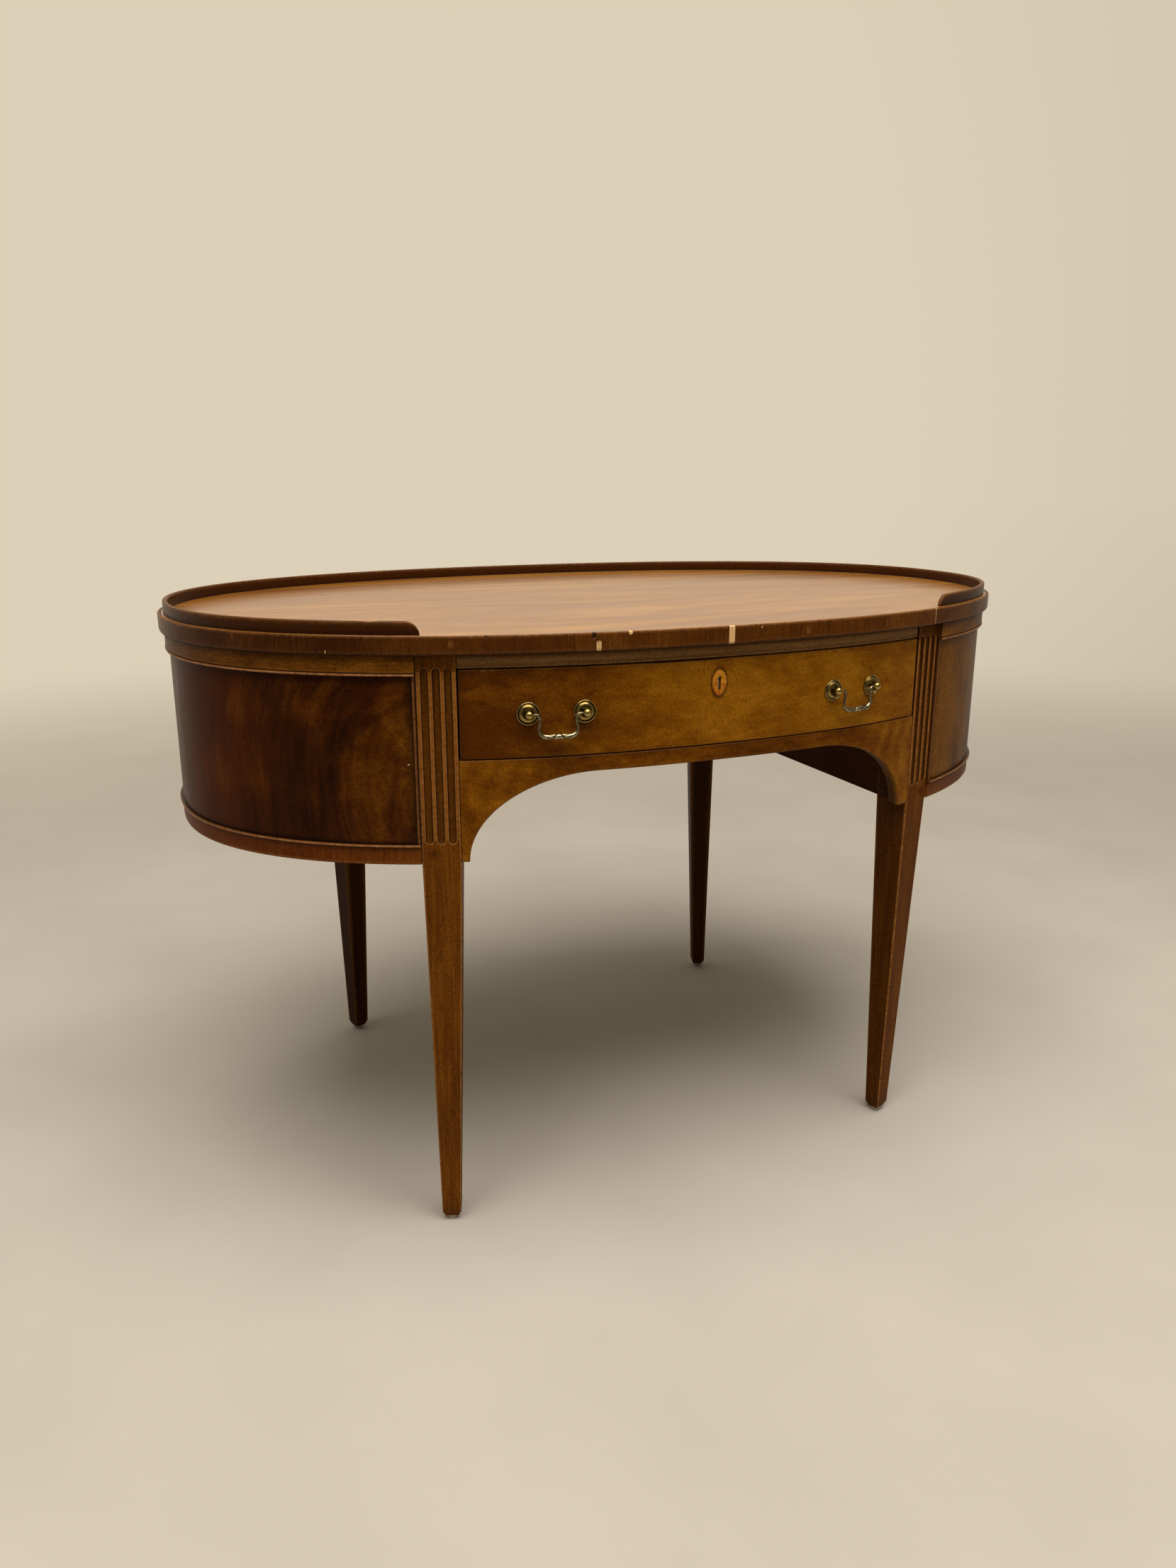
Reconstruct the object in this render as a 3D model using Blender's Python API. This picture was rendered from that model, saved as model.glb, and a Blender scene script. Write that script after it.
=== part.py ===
"""Oval mahogany writing desk: an oval top with a low gallery on four fluted, tapering legs,
two closed bow ends, and one bow-fronted drawer over an arched kneehole.

Metres, +Z up. The origin is on the floor under the middle of the desk. The drawer opens
towards -Y, and +X runs along the desk's length.
"""

import math

import bmesh
import bpy
import numpy as np
from mathutils import Matrix

# Top: an oval |x/a|^p + |y/b|^p = 1, with its edge band and gallery
TOP_WIDTH = 1.176
TOP_DEPTH = 0.732
OVAL_POWER = 2.24
TOP_HEIGHT = 0.735
TOP_THICKNESS = 0.021
EDGE_BAND = 0.004
EDGE_UPPER_ROUND = 0.0012
EDGE_LOWER_ROUND = 0.0034
GALLERY_INSET = 0.007
GALLERY_THICKNESS = 0.006
GALLERY_HEIGHT = 0.0147
GALLERY_ROUND = 0.002
GALLERY_END_RUN = 0.015
GALLERY_END_HEIGHT = 0.001
GALLERY_END_SETBACK = 0.005

# Legs: a fluted square post beside the casing, tapering to a small foot below it
POST_SPACING = 0.655
POST_INSET = 0.013
POST_WIDTH = 0.0445
POST_DEPTH = 0.046
ARRIS = 0.0012
LEG_TAPER_OUTER = 0.018
LEG_TAPER_INNER = 0.006
LEG_TAPER_KNEE = 0.0155
LEG_TAPER_END = 0.006
FOOT_CHAMFER = 0.003
FOOT_CHAMFER_HEIGHT = 0.007
GLIDE_RADIUS = 0.0075
GLIDE_HEIGHT = 0.005
FLUTE_COUNT = 3
FLUTE_WIDTH = 0.010
FLUTE_PITCH = 0.0131
FLUTE_DEPTH = 0.003
FLUTE_TOP_MARGIN = 0.015
FLUTE_BOTTOM_MARGIN = 0.023

# End casings: frieze, bead, panel, bead and base band, stacked round the bow
CASING_HEIGHT = 0.237
FRIEZE_HEIGHT = 0.0195
FRIEZE_INSET = 0.006
FRIEZE_THICKNESS = 0.016
BEAD_HEIGHT = 0.0032
BEAD_DEPTH = 0.010
FRIEZE_BEAD_INSET = 0.0052
BASE_BEAD_INSET = 0.0065
PANEL_INSET = 0.0105
PANEL_THICKNESS = 0.008
BASE_HEIGHT = 0.0205
BASE_INSET = 0.0095
BASE_THICKNESS = 0.014
SIDE_BEAD_WIDTH = 0.004
SIDE_BEAD_INSET = 0.009
CASING_FLOOR = 0.012
CASING_FLOOR_LIFT = 0.002
KNEE_PANEL = 0.008
KNEE_PANEL_SETBACK = 0.0085

# Front and back: rail over the drawer, arched aprons, back panel
RAIL_HEIGHT = 0.016
RAIL_INSET = 0.015
RAIL_WIDTH = 0.040
APRON_CROWN = 0.0185
APRON_THICKNESS = 0.020
ARCH_REACH = 0.146
ARCH_SHIFT = -0.0045
BRACKET_FOOT = 0.013
BRACKET_LIFT = 0.0012
BACK_PANEL = 0.012

# Drawer and what carries it
DRAWER_INSET = 0.013
DRAWER_HEIGHT = 0.0995
DRAWER_GAP = 0.0012
DRAWER_LEFT_GAP = 0.0015
DRAWER_RIGHT_GAP = 0.0035
DRAWER_FRONT = 0.020
DRAWER_LENGTH = 0.530
DRAWER_SIDE = 0.012
DRAWER_SIDE_GAP = 0.003
DRAWER_SIDE_DROP = 0.009
DRAWER_BACK = 0.012
DRAWER_BOTTOM = 0.005
DRAWER_BOTTOM_LIFT = 0.007
RUNNER_WIDTH = 0.030
RUNNER_HEIGHT = 0.016
STOP_LENGTH = 0.025
STOP_HEIGHT = 0.020
SLIDE_GAP = 0.0004

# Lock and escutcheon; the lock and handles sit a little left of the drawer's middle
HARDWARE_SHIFT = -0.0065
ESCUTCHEON_WIDTH = 0.021
ESCUTCHEON_HEIGHT = 0.033
ESCUTCHEON_THICKNESS = 0.0022
ESCUTCHEON_PROUD = 0.0006
ESCUTCHEON_DROP = 0.028
KEYHOLE_RADIUS = 0.0026
KEYHOLE_SLOT = 0.0026
KEYHOLE_LENGTH = 0.0075
LOCK_WIDTH = 0.058
LOCK_HEIGHT = 0.046
LOCK_DEPTH = 0.012
LOCK_TOP_MARGIN = 0.001
BOLT_WIDTH = 0.016
BOLT_DEPTH = 0.005
BOLT_HEIGHT = 0.016
BOLT_THROW = 0.008
BOLT_GAP = 0.0005

# Handles: a bail hung between two ball-headed posts, each through a round rosette
HANDLE_SPACING = 0.389
HANDLE_CENTRES = 0.064
ROSETTE_RADIUS = 0.013
ROSETTE_HEIGHT = 0.0042
BALL_RADIUS = 0.0046
BALL_REACH = 0.0105
SHANK_RADIUS = 0.0022
SHANK_GAP = 0.0004
SHANK_TAIL = 0.0065
NECK_RADIUS = 0.0030
NUT_RADIUS = 0.0050
NUT_HEIGHT = 0.0035
PIN_RADIUS = 0.0014
PIN_HOLE_RADIUS = 0.0019
BAIL_RADIUS = 0.0018
GRIP_RADIUS = 0.0025
BAIL_DROP = 0.0275
BAIL_SHOULDER = 0.0135

# Fits and fineness
FIT = 0.0003
OVERCUT = 0.004
OVAL_SAMPLES = 2880
TOP_STATIONS = 88
END_STATIONS = 22
FRONT_STATIONS = 25
ARCH_STEPS = 9
CROWN_STATIONS = 11
ROUND_STEPS = 18
SMOOTH_ANGLE = math.radians(32)

# Heights that follow from the sizes above
UNDERSIDE = TOP_HEIGHT - TOP_THICKNESS
CARCASS_TOP = UNDERSIDE - FIT
CASING_BOTTOM = UNDERSIDE - CASING_HEIGHT
RAIL_BOTTOM = CARCASS_TOP - RAIL_HEIGHT
DRAWER_TOP = RAIL_BOTTOM - DRAWER_GAP
DRAWER_LOW = DRAWER_TOP - DRAWER_HEIGHT
APRON_TOP = DRAWER_LOW - DRAWER_GAP
ARCH_CROWN = APRON_TOP - APRON_CROWN
FRIEZE_LOW = CARCASS_TOP - FRIEZE_HEIGHT
FRIEZE_BEAD_LOW = FRIEZE_LOW - FIT - BEAD_HEIGHT
BASE_TOP = CASING_BOTTOM + BASE_HEIGHT
BASE_BEAD_TOP = BASE_TOP + FIT + BEAD_HEIGHT
PANEL_LOW = BASE_BEAD_TOP + FIT
PANEL_TOP = FRIEZE_BEAD_LOW - FIT
SIDE_TOP = DRAWER_TOP - DRAWER_SIDE_DROP
HANDLE_HEIGHT = DRAWER_LOW + DRAWER_HEIGHT / 2


def linear(colour):
    """A hex colour as the linear RGBA that a shader takes."""
    parts = [int(colour[i : i + 2], 16) / 255 for i in (1, 3, 5)]
    return [p / 12.92 if p <= 0.04045 else ((p + 0.055) / 1.055) ** 2.4 for p in parts] + [1.0]


def make_material(name, colour, roughness, metallic=0.0):
    made = bpy.data.materials.new(name)
    made.use_nodes = True
    shader = made.node_tree.nodes["Principled BSDF"]
    shader.inputs["Base Color"].default_value = linear(colour)
    shader.inputs["Roughness"].default_value = roughness
    shader.inputs["Metallic"].default_value = metallic
    return made


def finish_mesh(name, form):
    """Turn a bmesh into a mesh whose faces point out, smooth apart from its real edges."""
    bmesh.ops.recalc_face_normals(form, faces=form.faces)
    mesh = bpy.data.meshes.new(name)
    form.to_mesh(mesh)
    form.free()
    mesh.shade_smooth()
    mesh.set_sharp_from_angle(angle=SMOOTH_ANGLE)
    return mesh


def sweep(name, rails, ring=False):
    """Skin a closed profile carried along a path: rails[i, j] is profile point i at station j."""
    form = bmesh.new()
    grid = [[form.verts.new(point) for point in rail] for rail in rails]
    profile, stations = len(grid), len(grid[0])
    for i in range(profile):
        rail, above = grid[i], grid[(i + 1) % profile]
        for j in range(stations if ring else stations - 1):
            k = (j + 1) % stations
            form.faces.new((rail[j], rail[k], above[k], above[j]))
    if not ring:
        form.faces.new([rail[0] for rail in grid])
        form.faces.new([rail[-1] for rail in reversed(grid)])
    return finish_mesh(name, form)


def prism(name, outline, low, high):
    """Extrude a flat outline between two heights."""
    form = bmesh.new()
    floor = form.faces.new([form.verts.new((x, y, low)) for x, y in outline])
    lifted = bmesh.ops.extrude_face_region(form, geom=[floor])["geom"]
    corners = [item for item in lifted if isinstance(item, bmesh.types.BMVert)]
    bmesh.ops.translate(form, verts=corners, vec=(0, 0, high - low))
    return finish_mesh(name, form)


def box(name, low, high):
    (x0, y0, z0), (x1, y1, z1) = low, high
    return prism(name, [(x0, y0), (x1, y0), (x1, y1), (x0, y1)], z0, z1)


def plate(name, outline, near, far):
    """Extrude an upright outline of (x, z) points from y = near to y = far."""
    made = prism(name, outline, near, far)
    made.transform(Matrix(((1, 0, 0, 0), (0, 0, 1, 0), (0, 1, 0, 0), (0, 0, 0, 1))))
    made.flip_normals()
    return made


def turned(name, profile, steps=ROUND_STEPS, closed=False):
    """Spin a profile of (reach, radius) points about the local -Y axis, which points outwards."""
    form = bmesh.new()
    points = [form.verts.new((radius, -reach, 0)) for reach, radius in profile]
    edges = [form.edges.new(pair) for pair in zip(points, points[1:])]
    if closed:
        edges.append(form.edges.new((points[-1], points[0])))
    bmesh.ops.spin(form, geom=points + edges, axis=(0, 1, 0), angle=2 * math.pi, steps=steps, use_merge=True)
    bmesh.ops.remove_doubles(form, verts=form.verts, dist=1e-6)
    return finish_mesh(name, form)


def oval_frame(angles, inset):
    """Points of the oval drawn `inset` inside the top's edge, and its outward normals there."""
    across, along = TOP_WIDTH / 2, TOP_DEPTH / 2
    cos, sin = np.cos(angles), np.sin(angles)
    reach = (np.abs(cos / across) ** OVAL_POWER + np.abs(sin / along) ** OVAL_POWER) ** (-1 / OVAL_POWER)
    edge = np.stack([reach * cos, reach * sin], axis=-1)
    slope = np.sign(edge) * np.abs(edge / (across, along)) ** (OVAL_POWER - 1) / (across, along)
    normal = slope / np.linalg.norm(slope, axis=-1, keepdims=True)
    return edge - inset * normal, normal


def spread(line, count):
    """The same line as `count` points at even steps along it."""
    steps = np.concatenate([[0], np.cumsum(np.linalg.norm(np.diff(line, axis=0), axis=1))])
    even = np.linspace(0, steps[-1], count)
    return np.stack([np.interp(even, steps, line[:, axis]) for axis in (0, 1)], axis=-1)


def whole_oval(inset):
    line = oval_frame(np.linspace(0, 2 * math.pi, OVAL_SAMPLES), inset)[0]
    return spread(line, TOP_STATIONS + 1)[:-1]


def stand_post():
    """The front right post in plan: its angle round the oval, its outer face's middle and the way it looks."""
    quarter = np.linspace(-math.pi / 2, 0, OVAL_SAMPLES)
    line = oval_frame(quarter, POST_INSET)[0]
    angle = np.interp(POST_SPACING / 2, line[:, 0], quarter)
    middles, outwards = oval_frame(np.array([angle]), POST_INSET)
    return angle, middles[0], outwards[0]


POST_ANGLE, POST_MIDDLE, POST_OUT = stand_post()
POST_ALONG = np.array([-POST_OUT[1], POST_OUT[0]])
POST_TURN = math.atan2(POST_OUT[0], -POST_OUT[1])


def post_point(across, inward):
    """A plan point by the front right post: `across` towards the end, `inward` from its outer face."""
    return POST_MIDDLE + across * POST_ALONG - inward * POST_OUT


def behind_post(x, gap=FIT):
    """How far from the desk's middle line a post's inner face lies at this x."""
    near, far = post_point(0, POST_DEPTH + gap), post_point(1, POST_DEPTH + gap)
    return -(near[1] + (x - near[0]) / (far[0] - near[0]) * (far[1] - near[1]))


def run_between(inset, start, end, sides, count, gaps):
    """The oval at `inset` from one post's side face to the next; `sides` are the two posts' mirror signs."""
    line = oval_frame(np.linspace(start, end, OVAL_SAMPLES), inset)[0]
    places = np.arange(OVAL_SAMPLES)
    limits = []
    for side, sense, gap in zip(sides, (1, -1), gaps):
        middle, along = POST_MIDDLE * side, POST_ALONG * side
        along = along if middle[0] * along[1] > middle[1] * along[0] else -along
        clear = sense * ((line - middle) @ along) - POST_WIDTH / 2 - gap
        limits.append(np.interp(0, sense * clear, places))
    fine = np.linspace(*limits, OVAL_SAMPLES)
    cut = np.stack([np.interp(fine, places, line[:, axis]) for axis in (0, 1)], axis=-1)
    return spread(cut, count)


def front_run(inset, gaps=(FIT, FIT), count=FRONT_STATIONS):
    """The bow between the two front posts, from left to right."""
    sides = ((-1, 1), (1, 1))
    return run_between(inset, -math.pi - POST_ANGLE, POST_ANGLE, sides, count, gaps)


def end_run(inset, gap=FIT, count=END_STATIONS):
    """The bow round the right end, from the front post to the back post."""
    sides = ((1, 1), (1, -1))
    return run_between(inset, POST_ANGLE, -POST_ANGLE, sides, count, (gap, gap))


def front_y(x, inset):
    """The bowed front's y at this x."""
    line = oval_frame(np.linspace(-math.pi, 0, OVAL_SAMPLES), inset)[0]
    return np.interp(x, line[:, 0], line[:, 1])


def bent(name, profile, run):
    """Carry a profile of (inset, height) points along a bow: `run` gives the bow at an inset."""
    rails = []
    for inset, height in profile:
        line = run(inset)
        rails.append(np.column_stack([line, np.full(len(line), height)]))
    return sweep(name, rails)


def block_profile(inset, thickness, low, high):
    return [(inset, low), (inset, high), (inset + thickness, high), (inset + thickness, low)]


def bead_profile(inset, depth, low, high):
    """A strip with a half-round nose."""
    radius = (high - low) / 2
    turns = np.linspace(-math.pi / 2, math.pi / 2, 5)
    nose = [(inset + radius - radius * math.cos(t), low + radius + radius * math.sin(t)) for t in turns]
    return nose + [(inset + depth, high), (inset + depth, low)]


def add(name, mesh, material, parent=None, turn=0.0, location=(0, 0, 0)):
    made = bpy.data.objects.new(name, mesh)
    if not mesh.materials:
        mesh.materials.append(material)
    made.location = location
    made.rotation_euler = (0, 0, turn)
    made.parent = parent
    bpy.context.scene.collection.objects.link(made)
    return made


def add_axis(name, parent=None, turn=0.0, location=(0, 0, 0)):
    made = bpy.data.objects.new(name, None)
    made.empty_display_size = 0.02
    made.location = location
    made.rotation_euler = (0, 0, turn)
    made.parent = parent
    bpy.context.scene.collection.objects.link(made)
    return made


def cut_away(target, name, mesh, turn=0.0, location=(0, 0, 0)):
    """Cut a shape from a piece with a live Boolean; the cutter itself is only a guide."""
    cutter = bpy.data.objects.new(name, mesh)
    cutter.hide_render = True
    cutter.display_type = "WIRE"
    cutter.location = location
    cutter.rotation_euler = (0, 0, turn)
    cutter.parent = target.parent
    bpy.context.scene.collection.objects.link(cutter)
    cut = target.modifiers.new(name, "BOOLEAN")
    cut.object = cutter
    cut.operation = "DIFFERENCE"
    cut.solver = "EXACT"


def make_top(woods):
    add("top_board", prism("top_board", whole_oval(EDGE_BAND + FIT), UNDERSIDE, TOP_HEIGHT), woods["top"])

    upper, lower, corner = EDGE_UPPER_ROUND, EDGE_LOWER_ROUND, 1 - math.sqrt(0.5)
    profile = [
        (EDGE_BAND, UNDERSIDE),
        (EDGE_BAND, TOP_HEIGHT),
        (upper, TOP_HEIGHT),
        (upper * corner, TOP_HEIGHT - upper * corner),
        (0, TOP_HEIGHT - upper),
        (0, UNDERSIDE + lower),
        (lower * corner, UNDERSIDE + lower * corner),
        (lower, UNDERSIDE),
    ]
    rails = [np.column_stack([whole_oval(inset), np.full(TOP_STATIONS, z)]) for inset, z in profile]
    add("top_edge_band", sweep("top_edge_band", rails, ring=True), woods["edge"])

    add("gallery", make_gallery_mesh(), woods["edge"])


def make_gallery_mesh():
    """A rim round the back and ends, dropping in a quarter round at each end of the front opening."""
    base = TOP_HEIGHT + FIT
    end_x = post_point(POST_WIDTH / 2, 0)[0] - GALLERY_END_SETBACK
    turns = np.linspace(0, math.pi / 2, 6)
    drop = GALLERY_END_RUN * (1 - np.cos(turns))
    rise = GALLERY_END_HEIGHT + (GALLERY_HEIGHT - GALLERY_END_HEIGHT) * np.sin(turns)

    def rim(inset):
        quarter = np.linspace(-math.pi / 2, 0, OVAL_SAMPLES)
        start = np.interp(end_x, oval_frame(quarter, inset)[0][:, 0], quarter)
        line = oval_frame(np.linspace(start, math.pi - start, OVAL_SAMPLES), inset)[0]
        steps = np.concatenate([[0], np.cumsum(np.linalg.norm(np.diff(line, axis=0), axis=1))])
        middle = np.linspace(GALLERY_END_RUN, steps[-1] - GALLERY_END_RUN, TOP_STATIONS)[1:-1]
        at = np.concatenate([drop, middle, steps[-1] - drop[::-1]])
        return np.stack([np.interp(at, steps, line[:, axis]) for axis in (0, 1)], axis=-1)

    height = np.concatenate([rise, np.full(TOP_STATIONS - 2, GALLERY_HEIGHT), rise[::-1]])
    round_off = np.minimum(GALLERY_ROUND, height / 2)
    corner = 1 - math.sqrt(0.5)
    inner = GALLERY_INSET + GALLERY_THICKNESS
    profile = [
        (GALLERY_INSET, 0 * height),
        (GALLERY_INSET, height - round_off),
        (GALLERY_INSET + GALLERY_ROUND * corner, height - round_off * corner),
        (GALLERY_INSET + GALLERY_ROUND, height),
        (inner - GALLERY_ROUND, height),
        (inner - GALLERY_ROUND * corner, height - round_off * corner),
        (inner, height - round_off),
        (inner, 0 * height),
    ]
    return sweep("gallery", [np.column_stack([rim(inset), base + lift]) for inset, lift in profile])


def make_leg_mesh(name, hand):
    """A leg in its own frame: outer face at y = 0 looking along -Y, the end side at +X for hand 1."""
    half = POST_WIDTH / 2
    foot_low = GLIDE_HEIGHT + FIT
    taper = (LEG_TAPER_KNEE, LEG_TAPER_END, LEG_TAPER_OUTER, LEG_TAPER_INNER)
    tucked = tuple(value + FOOT_CHAMFER for value in taper)
    levels = [
        (CARCASS_TOP, (0, 0, 0, 0)),
        (CASING_BOTTOM, (0, 0, 0, 0)),
        (foot_low + FOOT_CHAMFER_HEIGHT, taper),
        (foot_low, tucked),
    ]
    rings = []
    for z, (knee, end, outer, inner) in levels:
        x0, x1, y0, y1 = -half + knee, half - end, outer, POST_DEPTH - inner
        ring = [(x0 + ARRIS, y0), (x1 - ARRIS, y0), (x1, y0 + ARRIS), (x1, y1 - ARRIS)]
        ring += [(x1 - ARRIS, y1), (x0 + ARRIS, y1), (x0, y1 - ARRIS), (x0, y0 + ARRIS)]
        rings.append([(hand * x, y, z) for x, y in ring])
    return sweep(name, np.array(rings).transpose(1, 0, 2))


def make_flute_cutter():
    """Round-ended rods that scoop the flutes from a post's outer face."""
    radius = ((FLUTE_WIDTH / 2) ** 2 + FLUTE_DEPTH**2) / (2 * FLUTE_DEPTH)
    top, bottom = UNDERSIDE - FLUTE_TOP_MARGIN, CASING_BOTTOM + FLUTE_BOTTOM_MARGIN
    ends = np.linspace(0, math.pi / 2, 5)
    profile = [(top - FLUTE_WIDTH / 2 + radius * math.cos(t), radius * math.sin(t)) for t in ends]
    profile += [(bottom + FLUTE_WIDTH / 2 - radius * math.cos(t), radius * math.sin(t)) for t in reversed(ends)]
    joined = bmesh.new()
    for k in range(FLUTE_COUNT):
        rod = turned("flute", profile)
        across = (k - (FLUTE_COUNT - 1) / 2) * FLUTE_PITCH
        upright = Matrix.Rotation(-math.pi / 2, 4, "X")
        rod.transform(Matrix.Translation((across, FLUTE_DEPTH - radius, 0)) @ upright)
        joined.from_mesh(rod)
        bpy.data.meshes.remove(rod)
    return finish_mesh("flutes", joined)


def make_legs(woods, steel):
    """Four legs: each stands on the oval and faces straight out from it."""
    x, y = POST_MIDDLE[0], -POST_MIDDLE[1]
    places = {
        "front_right": ((x, -y), POST_TURN, 1),
        "front_left": ((-x, -y), -POST_TURN, -1),
        "back_right": ((x, y), math.pi - POST_TURN, -1),
        "back_left": ((-x, y), math.pi + POST_TURN, 1),
    }
    meshes = {hand: make_leg_mesh("leg", hand) for hand in (1, -1)}
    flutes = make_flute_cutter()
    glide = turned("glide", rod_profile(0, GLIDE_HEIGHT, GLIDE_RADIUS))
    glide.transform(Matrix.Rotation(-math.pi / 2, 4, "X"))
    foot_x = (LEG_TAPER_KNEE - LEG_TAPER_END) / 2
    foot_y = (POST_DEPTH + LEG_TAPER_OUTER - LEG_TAPER_INNER) / 2
    for place, ((at_x, at_y), turn, hand) in places.items():
        axis = add_axis("leg_axis_" + place, None, turn, (at_x, at_y, 0))
        leg = add("leg_" + place, meshes[hand], woods["post"], axis)
        cut_away(leg, "flutes_" + place, flutes)
        add("glide_" + place, glide, steel, axis, 0, (hand * foot_x, foot_y, 0))


def make_ends(woods):
    """The two bow ends: the left one is the right one turned half round."""
    beside = SIDE_BEAD_WIDTH + 2 * FIT
    bands = {
        "end_frieze": block_profile(FRIEZE_INSET, FRIEZE_THICKNESS, FRIEZE_LOW, CARCASS_TOP),
        "end_base": block_profile(BASE_INSET, BASE_THICKNESS, CASING_BOTTOM, BASE_TOP),
        "frieze_bead": bead_profile(FRIEZE_BEAD_INSET, BEAD_DEPTH, FRIEZE_BEAD_LOW, FRIEZE_LOW - FIT),
        "base_bead": bead_profile(BASE_BEAD_INSET, BEAD_DEPTH, BASE_TOP + FIT, BASE_BEAD_TOP),
    }
    meshes = {name: bent(name, profile, end_run) for name, profile in bands.items()}
    panel = block_profile(PANEL_INSET, PANEL_THICKNESS, PANEL_LOW, PANEL_TOP)
    meshes["end_panel"] = bent("end_panel", panel, lambda inset: end_run(inset, beside))
    meshes["side_bead_a"] = make_side_bead(1)
    meshes["side_bead_b"] = make_side_bead(-1)
    meshes["kneehole_side"] = make_kneehole_side()
    meshes["casing_floor"] = make_casing_floor()
    kinds = {"end_frieze": "post", "end_base": "post", "end_panel": "panel"}
    kinds.update({"kneehole_side": "inner", "casing_floor": "inner"})
    for name, mesh in meshes.items():
        wood = woods[kinds.get(name, "bead")]
        add(name + "_right", mesh, wood)
        add(name + "_left", mesh, wood, None, math.pi)


def make_side_bead(side):
    """An upright bead between the end panel and a post; side 1 is the front post, -1 the back one."""
    run = end_run(SIDE_BEAD_INSET, FIT, OVAL_SAMPLES)
    length = np.linalg.norm(np.diff(run, axis=0), axis=1).sum()
    share = SIDE_BEAD_WIDTH / length

    def corner(inset, at):
        line = end_run(inset, FIT, OVAL_SAMPLES)
        place = line[int(round(at * (len(line) - 1)))]
        return place[0], side * place[1]

    depth = PANEL_INSET + PANEL_THICKNESS
    nose = (PANEL_INSET - SIDE_BEAD_INSET) / 2
    shoulder = SIDE_BEAD_INSET + nose
    outline = [corner(depth, 0), corner(shoulder, 0), corner(SIDE_BEAD_INSET, share * 0.25)]
    outline += [corner(SIDE_BEAD_INSET, share * 0.75), corner(shoulder, share), corner(depth, share)]
    return prism("side_bead", outline, PANEL_LOW, PANEL_TOP)


def knee_face():
    """The x of the kneehole side's open face."""
    return post_point(-POST_WIDTH / 2, POST_DEPTH)[0] + KNEE_PANEL_SETBACK


def make_kneehole_side():
    near, far = knee_face(), knee_face() + KNEE_PANEL
    half = [(near, behind_post(near)), (far, behind_post(far))]
    outline = [(x, -y) for x, y in half] + [(x, y) for x, y in reversed(half)]
    return prism("kneehole_side", outline, CASING_BOTTOM, CARCASS_TOP)


def make_casing_floor():
    """The board that closes an end casing below, shaped round the posts' inner corners."""
    bow = end_run(BASE_INSET + BASE_THICKNESS + FIT)
    corner = post_point(POST_WIDTH / 2 + FIT, POST_DEPTH + FIT)
    near = knee_face() + KNEE_PANEL + FIT
    front = [(near, -behind_post(near)), tuple(corner)]
    outline = front + [tuple(p) for p in bow] + [(x, -y) for x, y in reversed(front)]
    low = CASING_BOTTOM + CASING_FLOOR_LIFT
    return prism("casing_floor", outline, low, low + CASING_FLOOR)


def lock_place():
    """The y of the lock case's two faces, behind the drawer's front."""
    corners = HARDWARE_SHIFT + np.array([-LOCK_WIDTH / 2, 0, LOCK_WIDTH / 2])
    near = max(front_y(corners, DRAWER_INSET + DRAWER_FRONT)) + FIT
    return near, near + LOCK_DEPTH


def make_front_and_back(woods):
    rail_profile = block_profile(RAIL_INSET, RAIL_WIDTH, RAIL_BOTTOM, CARCASS_TOP)
    rail = add("front_rail", bent("front_rail", rail_profile, front_run), woods["post"])
    middle = sum(lock_place()) / 2
    half_x, half_y = BOLT_WIDTH / 2 + 2 * BOLT_GAP, BOLT_DEPTH / 2 + 2 * BOLT_GAP
    mortise_top = DRAWER_TOP + BOLT_THROW
    mortise = box(
        "bolt_mortise",
        (HARDWARE_SHIFT - half_x, middle - half_y, RAIL_BOTTOM - OVERCUT),
        (HARDWARE_SHIFT + half_x, middle + half_y, mortise_top),
    )
    cut_away(rail, "bolt_mortise", mortise)

    apron = make_apron_mesh()
    add("front_apron", apron, woods["drawer"])
    add("back_apron", apron, woods["drawer"], None, math.pi)
    panel_profile = block_profile(DRAWER_INSET, BACK_PANEL, APRON_TOP + FIT, CARCASS_TOP)
    add("back_panel", bent("back_panel", panel_profile, front_run), woods["panel"], None, math.pi)

    for side, turn, back in (("right", 0, 1), ("left", math.pi, -1)):
        add("drawer_runner_" + side, make_runner_mesh(back), woods["inner"], None, turn)
        add("drawer_kicker_" + side, make_kicker_mesh(), woods["inner"], None, turn)


def make_apron_mesh():
    """A bowed board with a flat-crowned arch cut in its lower edge and a bracket foot at each post."""
    outer, inner = DRAWER_INSET, DRAWER_INSET + APRON_THICKNESS
    ends = {inset: front_run(inset, count=2)[1] for inset in (outer, inner)}
    spring = ends[outer][0] - BRACKET_FOOT
    crown = spring - ARCH_REACH
    bottom = CASING_BOTTOM + BRACKET_LIFT
    turns = np.linspace(0, math.pi / 2, ARCH_STEPS + 1)[1:]
    corner_x = crown + ARCH_REACH * np.sin(turns)
    corner_z = bottom + (ARCH_CROWN - bottom) * np.cos(turns)
    x = np.concatenate([-corner_x[::-1], np.linspace(-crown, crown, CROWN_STATIONS), corner_x]) + ARCH_SHIFT
    low = np.concatenate([corner_z[::-1], np.full(CROWN_STATIONS, ARCH_CROWN), corner_z])
    low = np.concatenate([[bottom], low, [bottom]])
    rails = []
    for inset, height in ((outer, low), (outer, APRON_TOP), (inner, APRON_TOP), (inner, low)):
        end_x, end_y = ends[inset]
        line_x = np.concatenate([[-end_x], x, [end_x]])
        line_y = np.concatenate([[end_y], front_y(x, inset), [end_y]])
        rails.append(np.column_stack([line_x, line_y, np.broadcast_to(height, line_x.shape)]))
    return sweep("apron", rails)


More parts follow.
